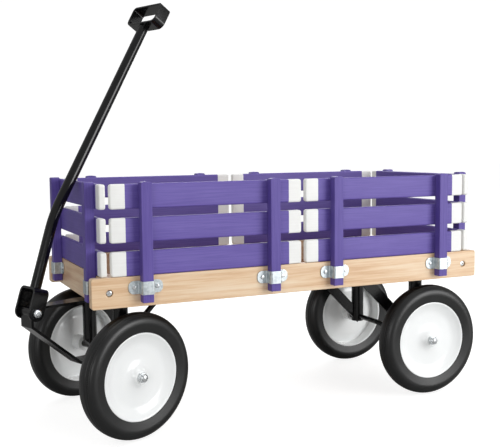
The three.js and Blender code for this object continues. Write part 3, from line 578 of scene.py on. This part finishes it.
SHEET = 0.0018
STRAP_HEIGHT = 0.026
EAR_ROUNDING = STRAP_HEIGHT * 0.42
NOSE_RADIUS = 0.0022
EAR_BEND_RADIUS = 0.0045
STRAP_EASE = 0.0005
EAR_PLAY = 0.0003
SIDE_EAR_REACH = 0.035
END_EAR_REACH = 0.0275
SIDE_SCREW_GAP = 0.0122
END_SCREW_GAP = 0.0094
SCREW_RADIUS = 0.0042
SCREW_HEIGHT = 0.0022
SCREW_SLOT_DEPTH = 0.0012


def strap_bracket(name, reach, channel, depth):
    """A strap bracket facing +X: ears in the plane x = 0, its channel standing out along X."""
    deselect_all()
    bpy.ops.mesh.primitive_plane_add(size=1)
    strap = bpy.context.object
    strap.name = strap.data.name = name
    strap.rotation_euler = (0, math.pi / 2, 0)
    strap.scale = (STRAP_HEIGHT, 2 * reach, 1)
    bpy.ops.object.transform_apply(location=True, rotation=True, scale=True)
    for y in (-channel, channel):
        bisect_at(strap, (0, y, 0), (0, 1, 0))
    pick(strap, "FACE", lambda face: abs(face.calc_center_median().y) < channel * 0.5)
    bpy.ops.mesh.extrude_region_move(TRANSFORM_OT_translate={"value": (depth, 0, 0)})
    pick(strap, "FACE", lambda face: abs(face.normal.z) > 0.9)
    bpy.ops.mesh.delete(type="FACE")
    pick(strap, "VERT", lambda v: abs(v.co.y) > reach - NEAR)
    bpy.ops.mesh.bevel(offset=EAR_ROUNDING, segments=7, affect="VERTICES")
    pick(strap, "FACE", lambda face: True)
    bpy.ops.mesh.normals_make_consistent(inside=False)
    bpy.ops.object.mode_set(mode="OBJECT")
    # An open sheet may come out facing either way, and its wall has to grow outwards.
    if max(face.normal.x for face in strap.data.polygons) < 0.9:
        strap.data.flip_normals()
    for at_ear, radius in ((False, NOSE_RADIUS), (True, EAR_BEND_RADIUS)):
        round_over(
            strap,
            lambda edge: runs_along(edge, 2)
            and abs(abs(edge.verts[0].co.y) - channel) < NEAR
            and (edge.verts[0].co.x < depth / 2) == at_ear,
            radius, 5)
    take_up(strap)
    wall = strap.modifiers.new("sheet", "SOLIDIFY")
    wall.thickness, wall.offset, wall.use_even_offset = SHEET, 1, True
    bpy.ops.object.modifier_apply(modifier=wall.name)
    ease(strap, STRAP_EASE)
    return strap


bracket_zinc = zinc_plate("zinc plate, pressed brackets", "#bcc5c9", "#d6dde0", 0.4, 0.005)
screw = round_head("screw_pattern", SCREW_RADIUS, SCREW_HEIGHT, SCREW_SLOT_DEPTH, 4)
paint(screw, bright_zinc)
side_brackets = [
    (f"bracket_{side}_{number}", turn)
    for side, turn in (("left", 0), ("right", math.pi))
    for number in (1, 2, 3, 4)]
end_brackets = [
    (f"bracket_{end}_{side}", turn)
    for end, turn in (("front", -math.pi / 2), ("rear", math.pi / 2))
    for side in ("left", "right")]
stand_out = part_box("bracket_left_1")[1].x - rail_high.x - EAR_PLAY
for reach, screw_gap, brackets in (
    (SIDE_EAR_REACH, SIDE_SCREW_GAP, side_brackets),
    (END_EAR_REACH, END_SCREW_GAP, end_brackets),
):
    strap = strap_bracket("bracket_pattern", reach, post_half + EAR_PLAY, stand_out - EAR_PLAY - SHEET)
    paint(strap, bracket_zinc)
    for node, turn in brackets:
        low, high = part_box(node)
        face = Vector((math.cos(turn), math.sin(turn), 0))
        half_depth = abs(face.dot(high - low)) / 2
        foot = middle_of(node) + face * (half_depth - stand_out)
        stand = Matrix.Translation(foot) @ Matrix.Rotation(turn, 4, "Z")
        bracket_parts = [twin(strap, node, stand)]
        for y in (post_half + screw_gap, -post_half - screw_gap):
            seat = Matrix.Translation((SHEET, y, 0)) @ Matrix.Rotation(math.pi / 2, 4, "Y")
            bracket_parts.append(twin(screw, node + "_screw", stand @ seat))
        settle(fuse(node + "_strap", bracket_parts), "bed", "zinc_plate", node)
    bpy.data.objects.remove(strap)
bpy.data.objects.remove(screw)


# ---- Wheels ----------------------------------------------------------------
# Each wheel is a dished steel disc, pressed, welded to a hub tube and stoved in
# gloss white, with a moulded solid rubber tyre stretched over its rim.

# Points closer than this are welded into one.
WELD = 1e-6
# Points closer than this lie on the same cut or corner.
SAME_PLACE = 1e-5


def turn_on_lathe(name, profile, steps=96):
    """Turns a closed profile of (reach, radius) points about the X axis into one piece.

    A small plane is merged to a point, which is then extruded round the profile.
    """
    deselect_all()
    bpy.ops.mesh.primitive_plane_add(size=0.001)
    piece = bpy.context.object
    piece.name = piece.data.name = name
    bpy.ops.object.mode_set(mode="EDIT")
    bpy.ops.mesh.select_mode(type="VERT")
    bpy.ops.mesh.select_all(action="SELECT")
    bpy.ops.mesh.merge(type="CENTER")
    points = [Vector((reach, 0, radius)) for reach, radius in profile]
    bpy.ops.transform.translate(value=points[0])
    for last, point in zip(points, points[1:] + points[:1]):
        bpy.ops.mesh.extrude_vertices_move(TRANSFORM_OT_translate={"value": point - last})
    bpy.ops.mesh.select_all(action="SELECT")
    bpy.ops.mesh.remove_doubles(threshold=WELD)
    bpy.ops.mesh.spin(steps=steps, angle=2 * math.pi, center=(0, 0, 0), axis=(1, 0, 0))
    bpy.ops.mesh.select_all(action="SELECT")
    bpy.ops.mesh.remove_doubles(threshold=WELD)
    bpy.ops.mesh.normals_make_consistent(inside=False)
    bpy.ops.object.mode_set(mode="OBJECT")
    return piece


def moulded_rubber():
    """Black tyre rubber from a mould: a soft grey sheen, dusted, with a 1.5 mm mottle."""
    mottle_size, dust_size = 0.0015, 0.042
    finish, tree, shader, spot = new_finish("moulded black rubber, tyres", {"IOR": 1.52})
    mottle = add_node(
        tree, "ShaderNodeTexNoise", {"Scale": 1 / mottle_size, "Detail": 3.0}, {"Vector": spot})
    dust = add_node(
        tree, "ShaderNodeTexNoise", {"Scale": 1 / dust_size, "Detail": 4.0}, {"Vector": spot})
    colour = add_node(
        tree, "ShaderNodeValToRGB", {"stops": [(0.35, "#070808"), (0.7, "#0f1011")]},
        {"Fac": dust.outputs["Fac"]})
    shine = add_node(
        tree, "ShaderNodeMapRange", {"To Min": 0.3, "To Max": 0.46}, {"Value": dust.outputs["Fac"]})
    relief = add_node(
        tree, "ShaderNodeBump", {"Strength": 0.2, "Distance": 0.0002},
        {"Height": mottle.outputs["Fac"]})
    link_inputs(tree, shader, {
        "Base Color": colour.outputs["Color"],
        "Roughness": shine.outputs["Result"],
        "Normal": relief.outputs["Normal"]})
    return finish


def stoved_enamel(name, pale, dark, roughness):
    """Enamel baked on pressed steel: very smooth, with a 4 mm orange peel only gloss shows."""
    peel_size, wear_size = 0.004, 0.111
    finish, tree, shader, spot = new_finish(name, {"Coat Weight": 0.4, "Coat Roughness": 0.06})
    peel = add_node(
        tree, "ShaderNodeTexNoise", {"Scale": 1 / peel_size, "Detail": 1.0}, {"Vector": spot})
    wear = add_node(
        tree, "ShaderNodeTexNoise", {"Scale": 1 / wear_size, "Detail": 3.0}, {"Vector": spot})
    colour = add_node(
        tree, "ShaderNodeValToRGB", {"stops": [(0.3, dark), (0.7, pale)]},
        {"Fac": wear.outputs["Fac"]})
    shine = add_node(
        tree, "ShaderNodeMapRange",
        {"To Min": roughness - 0.04, "To Max": roughness + 0.06},
        {"Value": wear.outputs["Fac"]})
    relief = add_node(
        tree, "ShaderNodeBump", {"Strength": 0.08, "Distance": 0.0002},
        {"Height": peel.outputs["Fac"]})
    link_inputs(tree, shader, {
        "Base Color": colour.outputs["Color"],
        "Roughness": shine.outputs["Result"],
        "Normal": relief.outputs["Normal"]})
    return finish


SEAT_RADIUS = 0.0889
SEAT_INSET = 0.0035
# How far round the tyre's section runs on each side of the tread, and in how many steps.
SECTION_TURN = math.radians(100.57)
SECTION_STEPS = 11
# Powers under 1 swell a circle: a full side wall and a slightly flattened tread.
SIDE_FULLNESS = 0.86
TREAD_FULLNESS = 0.92
TREAD_RIBS = (-0.0165, -0.0125, -0.0075, 0.0075, 0.0125, 0.0165)
RIB_HALF = 0.001
RIB_DEPTH = 0.0012

black_rubber = moulded_rubber()
tyre_low, tyre_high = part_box("tyre_rear_left")
wheel_radius = (tyre_high.z - tyre_low.z) / 2
tyre_half = (tyre_high.x - tyre_low.x) / 2
section_middle = (wheel_radius + SEAT_RADIUS) / 2
section_half = (wheel_radius - SEAT_RADIUS) / 2


def swell(value, fullness):
    """A sine or cosine brought nearer to 1, with its sign kept."""
    return math.copysign(abs(value) ** fullness, value)


section_points = [(SEAT_INSET - tyre_half, SEAT_RADIUS)]
for step in range(-SECTION_STEPS, SECTION_STEPS + 1):
    angle = SECTION_TURN * step / SECTION_STEPS
    reach = tyre_half * swell(math.sin(angle), SIDE_FULLNESS)
    rise = section_half * swell(math.cos(angle), TREAD_FULLNESS)
    section_points.append((reach, section_middle + rise))
section_points.append((tyre_half - SEAT_INSET, SEAT_RADIUS))
tyre = turn_on_lathe("tyre_pattern", section_points)
for reach in TREAD_RIBS:
    for offset in (-RIB_HALF, 0, RIB_HALF):
        bisect_at(tyre, (reach + offset, 0, 0), (1, 0, 0))
# Beyond this radius a point is on the tread, not on the seat.
tread = wheel_radius * 0.9
for reach in TREAD_RIBS:
    pick(
        tyre, "VERT",
        lambda v: abs(v.co.x - reach) < SAME_PLACE and math.hypot(v.co.y, v.co.z) > tread)
    squeeze = 1 - RIB_DEPTH / wheel_radius
    bpy.ops.transform.resize(value=(1, squeeze, squeeze), center_override=(0, 0, 0))
smooth(tyre)
paint(tyre, black_rubber)

HUB_BORE = 0.0067
HUB_RADIUS = 0.017
HUB_CHAMFER = 0.0012
RIM_HALF = 0.0185
RIM_INNER_RADIUS = 0.0855
RIM_EDGE = 0.0008
LIP_WALL = 0.0026
LIP_DEPTH = 0.0044
LIP_SLOPE = 0.0006
MOUTH_RADIUS = 0.0143
MOUTH_EDGE = 0.0011
MOUTH_DEPTH = 0.0004
# The pressed dish, as reach and radius: its inboard face from the hub out to the
# rim, and its outboard face from the rim back in to the flare round the hub.
DISH_INBOARD = [
    (0.0026, HUB_RADIUS), (0.0032, 0.030), (0.0036, 0.057), (0.0052, 0.064),
    (0.0096, 0.0745), (0.0139, 0.0822), (0.0132, 0.0852),
]
DISH_OUTBOARD = [
    (0.0150, 0.0812), (0.0116, 0.0752), (0.0086, 0.0690), (0.0070, 0.0640),
    (0.0064, 0.058), (0.0062, 0.046), (0.0064, 0.038), (0.0072, 0.031),
    (0.0088, 0.0252), (0.0112, 0.0206), (0.0140, 0.0174), (0.0166, 0.0154),
]

gloss_white = stoved_enamel(
    "white stoved enamel, wheel discs", pale="#fafcfc", dark="#f5f7f7", roughness=0.2)
joints = {joint["name"]: joint for joint in frame["joints"]}
wheel_middle = joints["wheel_rear_left_spin"]["pos_m"][0]
disc_low, disc_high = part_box("wheel_disc_rear_left")
rim_radius = (disc_high.z - disc_low.z) / 2
hub_in = disc_low.x - wheel_middle
hub_out = disc_high.x - wheel_middle
hub_inner_end = [
    (hub_in, HUB_BORE), (hub_in, HUB_RADIUS - HUB_CHAMFER), (hub_in + HUB_CHAMFER, HUB_RADIUS),
]
rim_band = [
    (-RIM_HALF, RIM_INNER_RADIUS), (-RIM_HALF, rim_radius), (RIM_HALF - RIM_EDGE, rim_radius),
]
rim_lip = [
    (RIM_HALF, rim_radius - RIM_EDGE), (RIM_HALF, rim_radius - LIP_WALL),
    (RIM_HALF - LIP_SLOPE, rim_radius - LIP_DEPTH),
]
hub_outer_end = [
    (hub_out - MOUTH_DEPTH, MOUTH_RADIUS), (hub_out, MOUTH_RADIUS - MOUTH_EDGE), (hub_out, HUB_BORE),
]
disc = turn_on_lathe(
    "disc_pattern",
    hub_inner_end + DISH_INBOARD + rim_band + rim_lip + DISH_OUTBOARD + hub_outer_end)
smooth(disc)
paint(disc, gloss_white)


# ---- Hub nuts --------------------------------------------------------------
# A domed hexagon nut closes the end of each axle and holds the wheel on. It is
# turned and milled from steel bar and zinc plated.

ALONG_X = (0, math.pi / 2, 0)
NUT_START = 0.0183
NUT_CORNER = 0.011
NUT_LENGTH = 0.007
NUT_EASE = 0.0009
DOME_START = NUT_START + 0.0060
DOME_RADIUS = 0.0085
# The dome's curve: how far back from its tip, and its radius there.
DOME_CURVE = [(0.0042, 0.0084), (0.0026, 0.0077), (0.0012, 0.0060), (0.0003, 0.0034), (0, 0)]

hexagon = new_rod("nut_hexagon", 6, NUT_CORNER, (NUT_START + NUT_LENGTH / 2, 0, 0), NUT_LENGTH, ALONG_X)
ease(hexagon, NUT_EASE, 3)
nut_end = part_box("hub_nut_rear_left")[1].x - wheel_middle
dome_profile = [(DOME_START, 0), (DOME_START, DOME_RADIUS)]
dome_profile += [(nut_end - back, radius) for back, radius in DOME_CURVE]
dome = turn_on_lathe("nut_dome", dome_profile, 48)
smooth(dome)
cap_nut = fuse("hub_nut_pattern", [hexagon, dome])
paint(cap_nut, bright_zinc)

for side in ("left", "right"):
    for end in ("front", "rear"):
        spin = joints[f"wheel_{end}_{side}_spin"]
        axis = Vector(spin["axis"])
        turn = math.atan2(axis.y, axis.x) + (0 if side == "left" else math.pi)
        stand = Matrix.Translation(spin["pos_m"]) @ Matrix.Rotation(turn, 4, "Z")
        corner = f"{end}_{side}"
        rubber = twin(tyre, f"rubber_tyre_{corner}", stand)
        settle(rubber, f"wheel_{corner}", "black_rubber", f"tyre_{corner}")
        pressing = twin(disc, f"pressed_disc_{corner}", stand)
        settle(pressing, f"wheel_{corner}", "white_paint", f"wheel_disc_{corner}")
        holder = f"stub_{side}" if end == "front" else "bed"
        settle(twin(cap_nut, f"cap_nut_{corner}", stand), holder, "zinc_plate", f"hub_nut_{corner}")
for pattern in (tyre, disc, cap_nut):
    bpy.data.objects.remove(pattern)


# ---- Running gear ----------------------------------------------------------
# The carriages, yoke, stub axles and tie bar are welded from steel strap, tube
# and rod, then powder coated in gloss black. Their shape is the plain solids'
# own, with every cut edge softened by the coating.

def powder_coat(name, roughness):
    """Gloss black powder coat: near-black with sharp highlights and a 2 mm orange peel."""
    peel_size, patch_size = 0.002, 0.0333
    finish, tree, shader, spot = new_finish(name, {"IOR": 1.46})
    peel = add_node(
        tree, "ShaderNodeTexNoise", {"Scale": 1 / peel_size, "Detail": 2.0}, {"Vector": spot})
    patches = add_node(
        tree, "ShaderNodeTexNoise", {"Scale": 1 / patch_size, "Detail": 3.0}, {"Vector": spot})
    colour = add_node(
        tree, "ShaderNodeValToRGB", {"stops": [(0.3, "#060607"), (0.7, "#0c0c0e")]},
        {"Fac": patches.outputs["Fac"]})
    shine = add_node(
        tree, "ShaderNodeMapRange",
        {"To Min": roughness - 0.05, "To Max": roughness + 0.07},
        {"Value": patches.outputs["Fac"]})
    relief = add_node(
        tree, "ShaderNodeBump", {"Strength": 0.15, "Distance": 0.0002},
        {"Height": peel.outputs["Fac"]})
    link_inputs(tree, shader, {
        "Base Color": colour.outputs["Color"],
        "Roughness": shine.outputs["Result"],
        "Normal": relief.outputs["Normal"]})
    return finish


def coated_copy(node, name, width):
    """A new piece of the plain solid's shape, as one welded mesh with softened edges."""
    mesh = frame["nodes"][node].data.copy()
    mesh.name = name
    mesh.materials.clear()
    piece = bpy.data.objects.new(name, mesh)
    bpy.context.scene.collection.objects.link(piece)
    pick(piece, "VERT", lambda v: True)
    bpy.ops.mesh.remove_doubles(threshold=SAME_PLACE)
    bpy.ops.mesh.select_all(action="SELECT")
    bpy.ops.mesh.dissolve_limited(angle_limit=FLAT_WITHIN)
    bpy.ops.object.mode_set(mode="OBJECT")
    ease(piece, width)
    return piece


CARRIAGE_EASE = 0.0006
AXLE_EASE = 0.0004
YOKE_EASE = 0.0008
SMALL_PART_EASE = 0.0005
# Neighbouring facets within this angle are one flat face.
FLAT_WITHIN = math.radians(0.5)

gloss_black = powder_coat("gloss black powder coat, running gear", 0.2)
for node, name, body, width in (
    ("front_undercarriage", "front_carriage", "bed", CARRIAGE_EASE),
    ("rear_undercarriage", "rear_carriage", "bed", CARRIAGE_EASE),
    ("rear_axle", "rear_axle_rod", "bed", AXLE_EASE),
    ("steering_yoke", "yoke_weldment", "yoke", YOKE_EASE),
    ("knuckle_left", "stub_axle_left", "stub_left", SMALL_PART_EASE),
    ("knuckle_right", "stub_axle_right", "stub_right", SMALL_PART_EASE),
    ("tie_bar", "tie_bar_strap", "tie_link", SMALL_PART_EASE),
):
    weldment = coated_copy(node, name, width)
    paint(weldment, gloss_black)
    settle(weldment, body, "black_paint", node)


# ---- Carriage bolts --------------------------------------------------------
# Zinc hexagon nuts on washers clamp both carriage plates to the bed from below,
# one near each end of a plate.

WASHER_RADIUS = 0.0085
WASHER_THICK = 0.0012
WASHER_EASE = 0.0003
PLATE_NUT_CORNER = 0.0062
PLATE_NUT_HEIGHT = 0.005
PLATE_NUT_EASE = 0.0005
PLATE_NUT_X = 0.100
PLATE_SHEET = 0.005

nut_middle = -WASHER_THICK - PLATE_NUT_HEIGHT / 2
plate_nut = new_rod("plate_nut", 6, PLATE_NUT_CORNER, (0, 0, nut_middle), PLATE_NUT_HEIGHT)
ease(plate_nut, PLATE_NUT_EASE)
washer = new_rod("washer", 32, WASHER_RADIUS, (0, 0, -WASHER_THICK / 2), WASHER_THICK)
ease(washer, WASHER_EASE)
clamp = fuse("plate_nut_pattern", [plate_nut, washer])
paint(clamp, bright_zinc)
for end, on_axle in (("front", "steer"), ("rear", "wheel_rear_left_spin")):
    plate_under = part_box(f"{end}_undercarriage")[1].z - PLATE_SHEET
    axle_y = joints[on_axle]["pos_m"][1]
    for number, x in enumerate((-PLATE_NUT_X, PLATE_NUT_X), start=1):
        place = Matrix.Translation((x, axle_y, plate_under))
        settle(twin(clamp, f"plate_nut_{end}_{number}", place), "bed", "zinc_plate")
bpy.data.objects.remove(clamp)


# ---- Pull handle -----------------------------------------------------------
# The handle is one weldment in gloss black: a fork of bent flat bar round the
# yoke's nose, a bent steel tube, and a loop grip rolled from flat band.

LOWER_LEAN = math.radians(18.4)
FORK_HALF = 0.028
FORK_BAR_HALF = 0.017
FORK_SHEET = 0.005
FORK_TOP = 0.049
FORK_CORNER = 0.012
FORK_BORE = 0.0051
FORK_EASE = 0.0008
# Just short of half the bar, so that the two rounded corners don't meet.
FOOT_ROUNDING = FORK_BAR_HALF * 0.98
# Half the depth of the shapes that hollow out the fork and the grip, well past both.
CUT_HALF = 0.05
TUBE_RADIUS = 0.0111
TUBE_SINK = 0.002
LOWER_RUN = 0.202
UPPER_RUN = 0.461
BEND = math.radians(12.8)
BEND_RADIUS = 0.30
GRIP_HALF = 0.0493
GRIP_TALL = 0.049
GRIP_LOWER_CORNER = 0.014
GRIP_UPPER_CORNER = 0.009
GRIP_EASE = 0.001
BAND_HALF = 0.0144
BAND_SHEET = 0.0045

fork = new_board(
    "handle_fork",
    (-FORK_HALF, -FORK_BAR_HALF, -FORK_BAR_HALF),
    (FORK_HALF, FORK_BAR_HALF, FORK_TOP))
round_over(fork, lambda edge: runs_along(edge, 1) and edge.verts[0].co.z > 0, FORK_CORNER, 6)
inside_half = FORK_HALF - FORK_SHEET
hollow = new_board(
    "fork_hollow", (-inside_half, -CUT_HALF, -CUT_HALF), (inside_half, CUT_HALF, FORK_TOP - FORK_SHEET))
round_over(
    hollow, lambda edge: runs_along(edge, 1) and edge.verts[0].co.z > 0, FORK_CORNER - FORK_SHEET, 6)
cut_away(fork, hollow)
foot = NEAR - FORK_BAR_HALF
round_over(fork, lambda edge: runs_along(edge, 0) and edge.verts[0].co.z < foot, FOOT_ROUNDING, 8)
bore_end = FORK_HALF + DRILL_OVERRUN
drill(fork, (-bore_end, 0, 0), (bore_end, 0, 0), FORK_BORE)
ease(fork, FORK_EASE)

bend_length = BEND_RADIUS * math.tan(BEND / 2)
bend_start = LOWER_RUN - bend_length
tube_foot = FORK_TOP - TUBE_SINK
leaning_back = Vector((0, math.sin(BEND), math.cos(BEND)))
deselect_all()
bpy.ops.mesh.primitive_circle_add(vertices=32, radius=TUBE_RADIUS, location=(0, 0, tube_foot))
tube = bpy.context.object
tube.name = tube.data.name = "handle_tube"
bpy.ops.object.transform_apply(location=True, rotation=True, scale=True)
pick(tube, "EDGE", lambda edge: True)
bpy.ops.mesh.extrude_region_move(TRANSFORM_OT_translate={"value": (0, 0, bend_start - tube_foot)})
bpy.ops.mesh.spin(steps=10, angle=BEND, center=(0, BEND_RADIUS, bend_start), axis=(1, 0, 0))
upper_length = UPPER_RUN - bend_length + TUBE_SINK
bpy.ops.mesh.extrude_region_move(TRANSFORM_OT_translate={"value": leaning_back * upper_length})
bpy.ops.mesh.select_all(action="SELECT")
bpy.ops.mesh.remove_doubles(threshold=WELD)
bpy.ops.mesh.fill_holes(sides=0)
bpy.ops.mesh.normals_make_consistent(inside=False)
bpy.ops.object.mode_set(mode="OBJECT")
smooth(tube)

grip_top = UPPER_RUN + GRIP_TALL
grip_middle = UPPER_RUN + GRIP_TALL / 2
palm_half = GRIP_HALF - BAND_SHEET
grip = new_board(
    "handle_grip", (-GRIP_HALF, -BAND_HALF, UPPER_RUN), (GRIP_HALF, BAND_HALF, grip_top))
palm = new_board(
    "grip_hollow",
    (-palm_half, -CUT_HALF, UPPER_RUN + BAND_SHEET),
    (palm_half, CUT_HALF, grip_top - BAND_SHEET))
for shape, inset in ((grip, 0), (palm, BAND_SHEET)):
    round_over(
        shape, lambda edge: runs_along(edge, 1) and edge.verts[0].co.z < grip_middle,
        GRIP_LOWER_CORNER - inset, 7)
    round_over(
        shape, lambda edge: runs_along(edge, 1) and edge.verts[0].co.z > grip_top - BAND_SHEET - NEAR,
        GRIP_UPPER_CORNER - inset, 6)
cut_away(grip, palm)
ease(grip, GRIP_EASE, 3)
grip.data.transform(Matrix.Translation((0, 0, LOWER_RUN)) @ Matrix.Rotation(-BEND, 4, "X"))

handle = fuse("handle_weldment", [tube, fork, grip])
pivot = joints["handle_pivot"]
steered = math.atan2(pivot["axis"][1], pivot["axis"][0])
pivot_seat = Matrix.Translation(pivot["pos_m"]) @ Matrix.Rotation(steered, 4, "Z")
handle.data.transform(pivot_seat @ Matrix.Rotation(-LOWER_LEAN, 4, "X"))
paint(handle, powder_coat("gloss black powder coat, handle", 0.17))
settle(handle, "handle", "black_paint", "pull_handle")


# ---- Handle bolt -----------------------------------------------------------
# A zinc-plated bolt joins the fork to the yoke, with a round head on the left
# and a lock nut on the right.

SHANK_RADIUS = 0.0048
SHANK_LENGTH = 0.068
SHANK_EASE = 0.0006
PIVOT_HEAD_RADIUS = 0.0085
PIVOT_HEAD_HEIGHT = 0.006
PIVOT_SOCKET_DEPTH = 0.003
FORK_PLAY = 0.0003

shank = new_rod("bolt_shank", 24, SHANK_RADIUS, (0, 0, 0), SHANK_LENGTH, ALONG_X)
ease(shank, SHANK_EASE)
fork_side = FORK_HALF + FORK_PLAY
head = round_head("bolt_head", PIVOT_HEAD_RADIUS, PIVOT_HEAD_HEIGHT, PIVOT_SOCKET_DEPTH, 6)
head.data.transform(Matrix.Translation((fork_side, 0, 0)) @ Matrix.Rotation(math.pi / 2, 4, "Y"))
nut_place = (-fork_side - PIVOT_HEAD_HEIGHT / 2, 0, 0)
lock_nut = new_rod("lock_nut", 6, PIVOT_HEAD_RADIUS, nut_place, PIVOT_HEAD_HEIGHT, ALONG_X)
ease(lock_nut, SHANK_EASE)
pivot_bolt = fuse("handle_bolt_set", [shank, head, lock_nut])
pivot_bolt.data.transform(pivot_seat)
paint(pivot_bolt, bright_zinc)
settle(pivot_bolt, "yoke", "zinc_plate", "handle_bolt")


# ---- Studio ----------------------------------------------------------------
# A pale floor that runs out to a white surround, soft light from the wagon's
# left and above with a weaker fill from its right, and the camera low on its
# front left corner.

FLOOR_SIZE = 40
# Just under the tyres, so that the floor doesn't meet them in the same plane.
FLOOR_DROP = 0.0002
FLOOR_GLOW = 0.8
WHITE = linear("#ffffff")
# The surround is brighter where the camera sees it than as a light on the wagon.
SURROUND_LIGHT = 0.45
SURROUND_SEEN = 1.05

deselect_all()
bpy.ops.mesh.primitive_plane_add(size=FLOOR_SIZE, location=(0, 0, -FLOOR_DROP))
floor = bpy.context.object
floor.name = floor.data.name = "studio_floor"
pale_paper, tree, shader, _ = new_finish(
    "pale paper floor",
    {"Roughness": 0.9, "Base Color": linear("#b4b4b3"), "Emission Color": WHITE})
seen = add_node(tree, "ShaderNodeLightPath").outputs["Is Camera Ray"]
glow = add_node(tree, "ShaderNodeMapRange", {"To Min": 0.0, "To Max": FLOOR_GLOW}, {"Value": seen})
link_inputs(tree, shader, {"Emission Strength": glow.outputs["Result"]})
paint(floor, pale_paper)

world = bpy.data.worlds.new("white surround")
bpy.context.scene.world = world
world.use_nodes = True
surround = world.node_tree.nodes["Background"]
surround.inputs["Color"].default_value = WHITE
seen = add_node(world.node_tree, "ShaderNodeLightPath").outputs["Is Camera Ray"]
level = add_node(
    world.node_tree, "ShaderNodeMapRange",
    {"To Min": SURROUND_LIGHT, "To Max": SURROUND_SEEN}, {"Value": seen})
link_inputs(world.node_tree, surround, {"Strength": level.outputs["Result"]})


def soft_box(name, place, aim, size, watts):
    """A square soft light at a place, aimed at a point."""
    lamp = bpy.data.lights.new(name, "AREA")
    lamp.size, lamp.energy = size, watts
    stand = bpy.data.objects.new(name, lamp)
    bpy.context.scene.collection.objects.link(stand)
    stand.location = place
    stand.rotation_euler = (Vector(aim) - Vector(place)).to_track_quat("-Z", "Y").to_euler()


soft_box("left key", place=(2.7, 2.0, 0.95), aim=(0, 0.1, 0.26), size=1.8, watts=64)
soft_box("right fill", place=(-2.6, 1.3, 1.3), aim=(0, 0, 0.3), size=1.8, watts=30)
soft_box("top fill", place=(0.2, 0.1, 3.2), aim=(0, 0, 0.2), size=2.4, watts=30)
soft_box("front glint", place=(2.4, -1.9, 0.7), aim=(0.1, -0.3, 0.15), size=0.6, watts=10)

# The camera's place is given from the middle of the front axle, on the floor.
CAMERA_PLACE = Vector((1.7402, -0.4583, 0.5783))
CAMERA_HEADING = math.radians(65.09)
CAMERA_DIP = math.radians(5.32)
CAMERA_ROLL = math.radians(-0.55)
SENSOR_WIDTH = 36
LENS_LENGTH = 60.12
LENS_SHIFT = (-0.0009, 0.0006)

lens = bpy.data.cameras.new("view")
lens.sensor_width, lens.lens = SENSOR_WIDTH, LENS_LENGTH
lens.shift_x, lens.shift_y = LENS_SHIFT
camera = bpy.data.objects.new("view", lens)
bpy.context.scene.collection.objects.link(camera)
front_axle = joints["steer"]["pos_m"]
camera.location = CAMERA_PLACE + Vector((front_axle[0], front_axle[1], 0))
heading = Matrix.Rotation(CAMERA_HEADING, 4, "Z")
tilt = Matrix.Rotation(math.pi / 2 - CAMERA_DIP, 4, "X")
camera.rotation_euler = (heading @ tilt @ Matrix.Rotation(CAMERA_ROLL, 4, "Z")).to_euler()
bpy.context.scene.camera = camera
bpy.context.scene.view_settings.view_transform = "Standard"
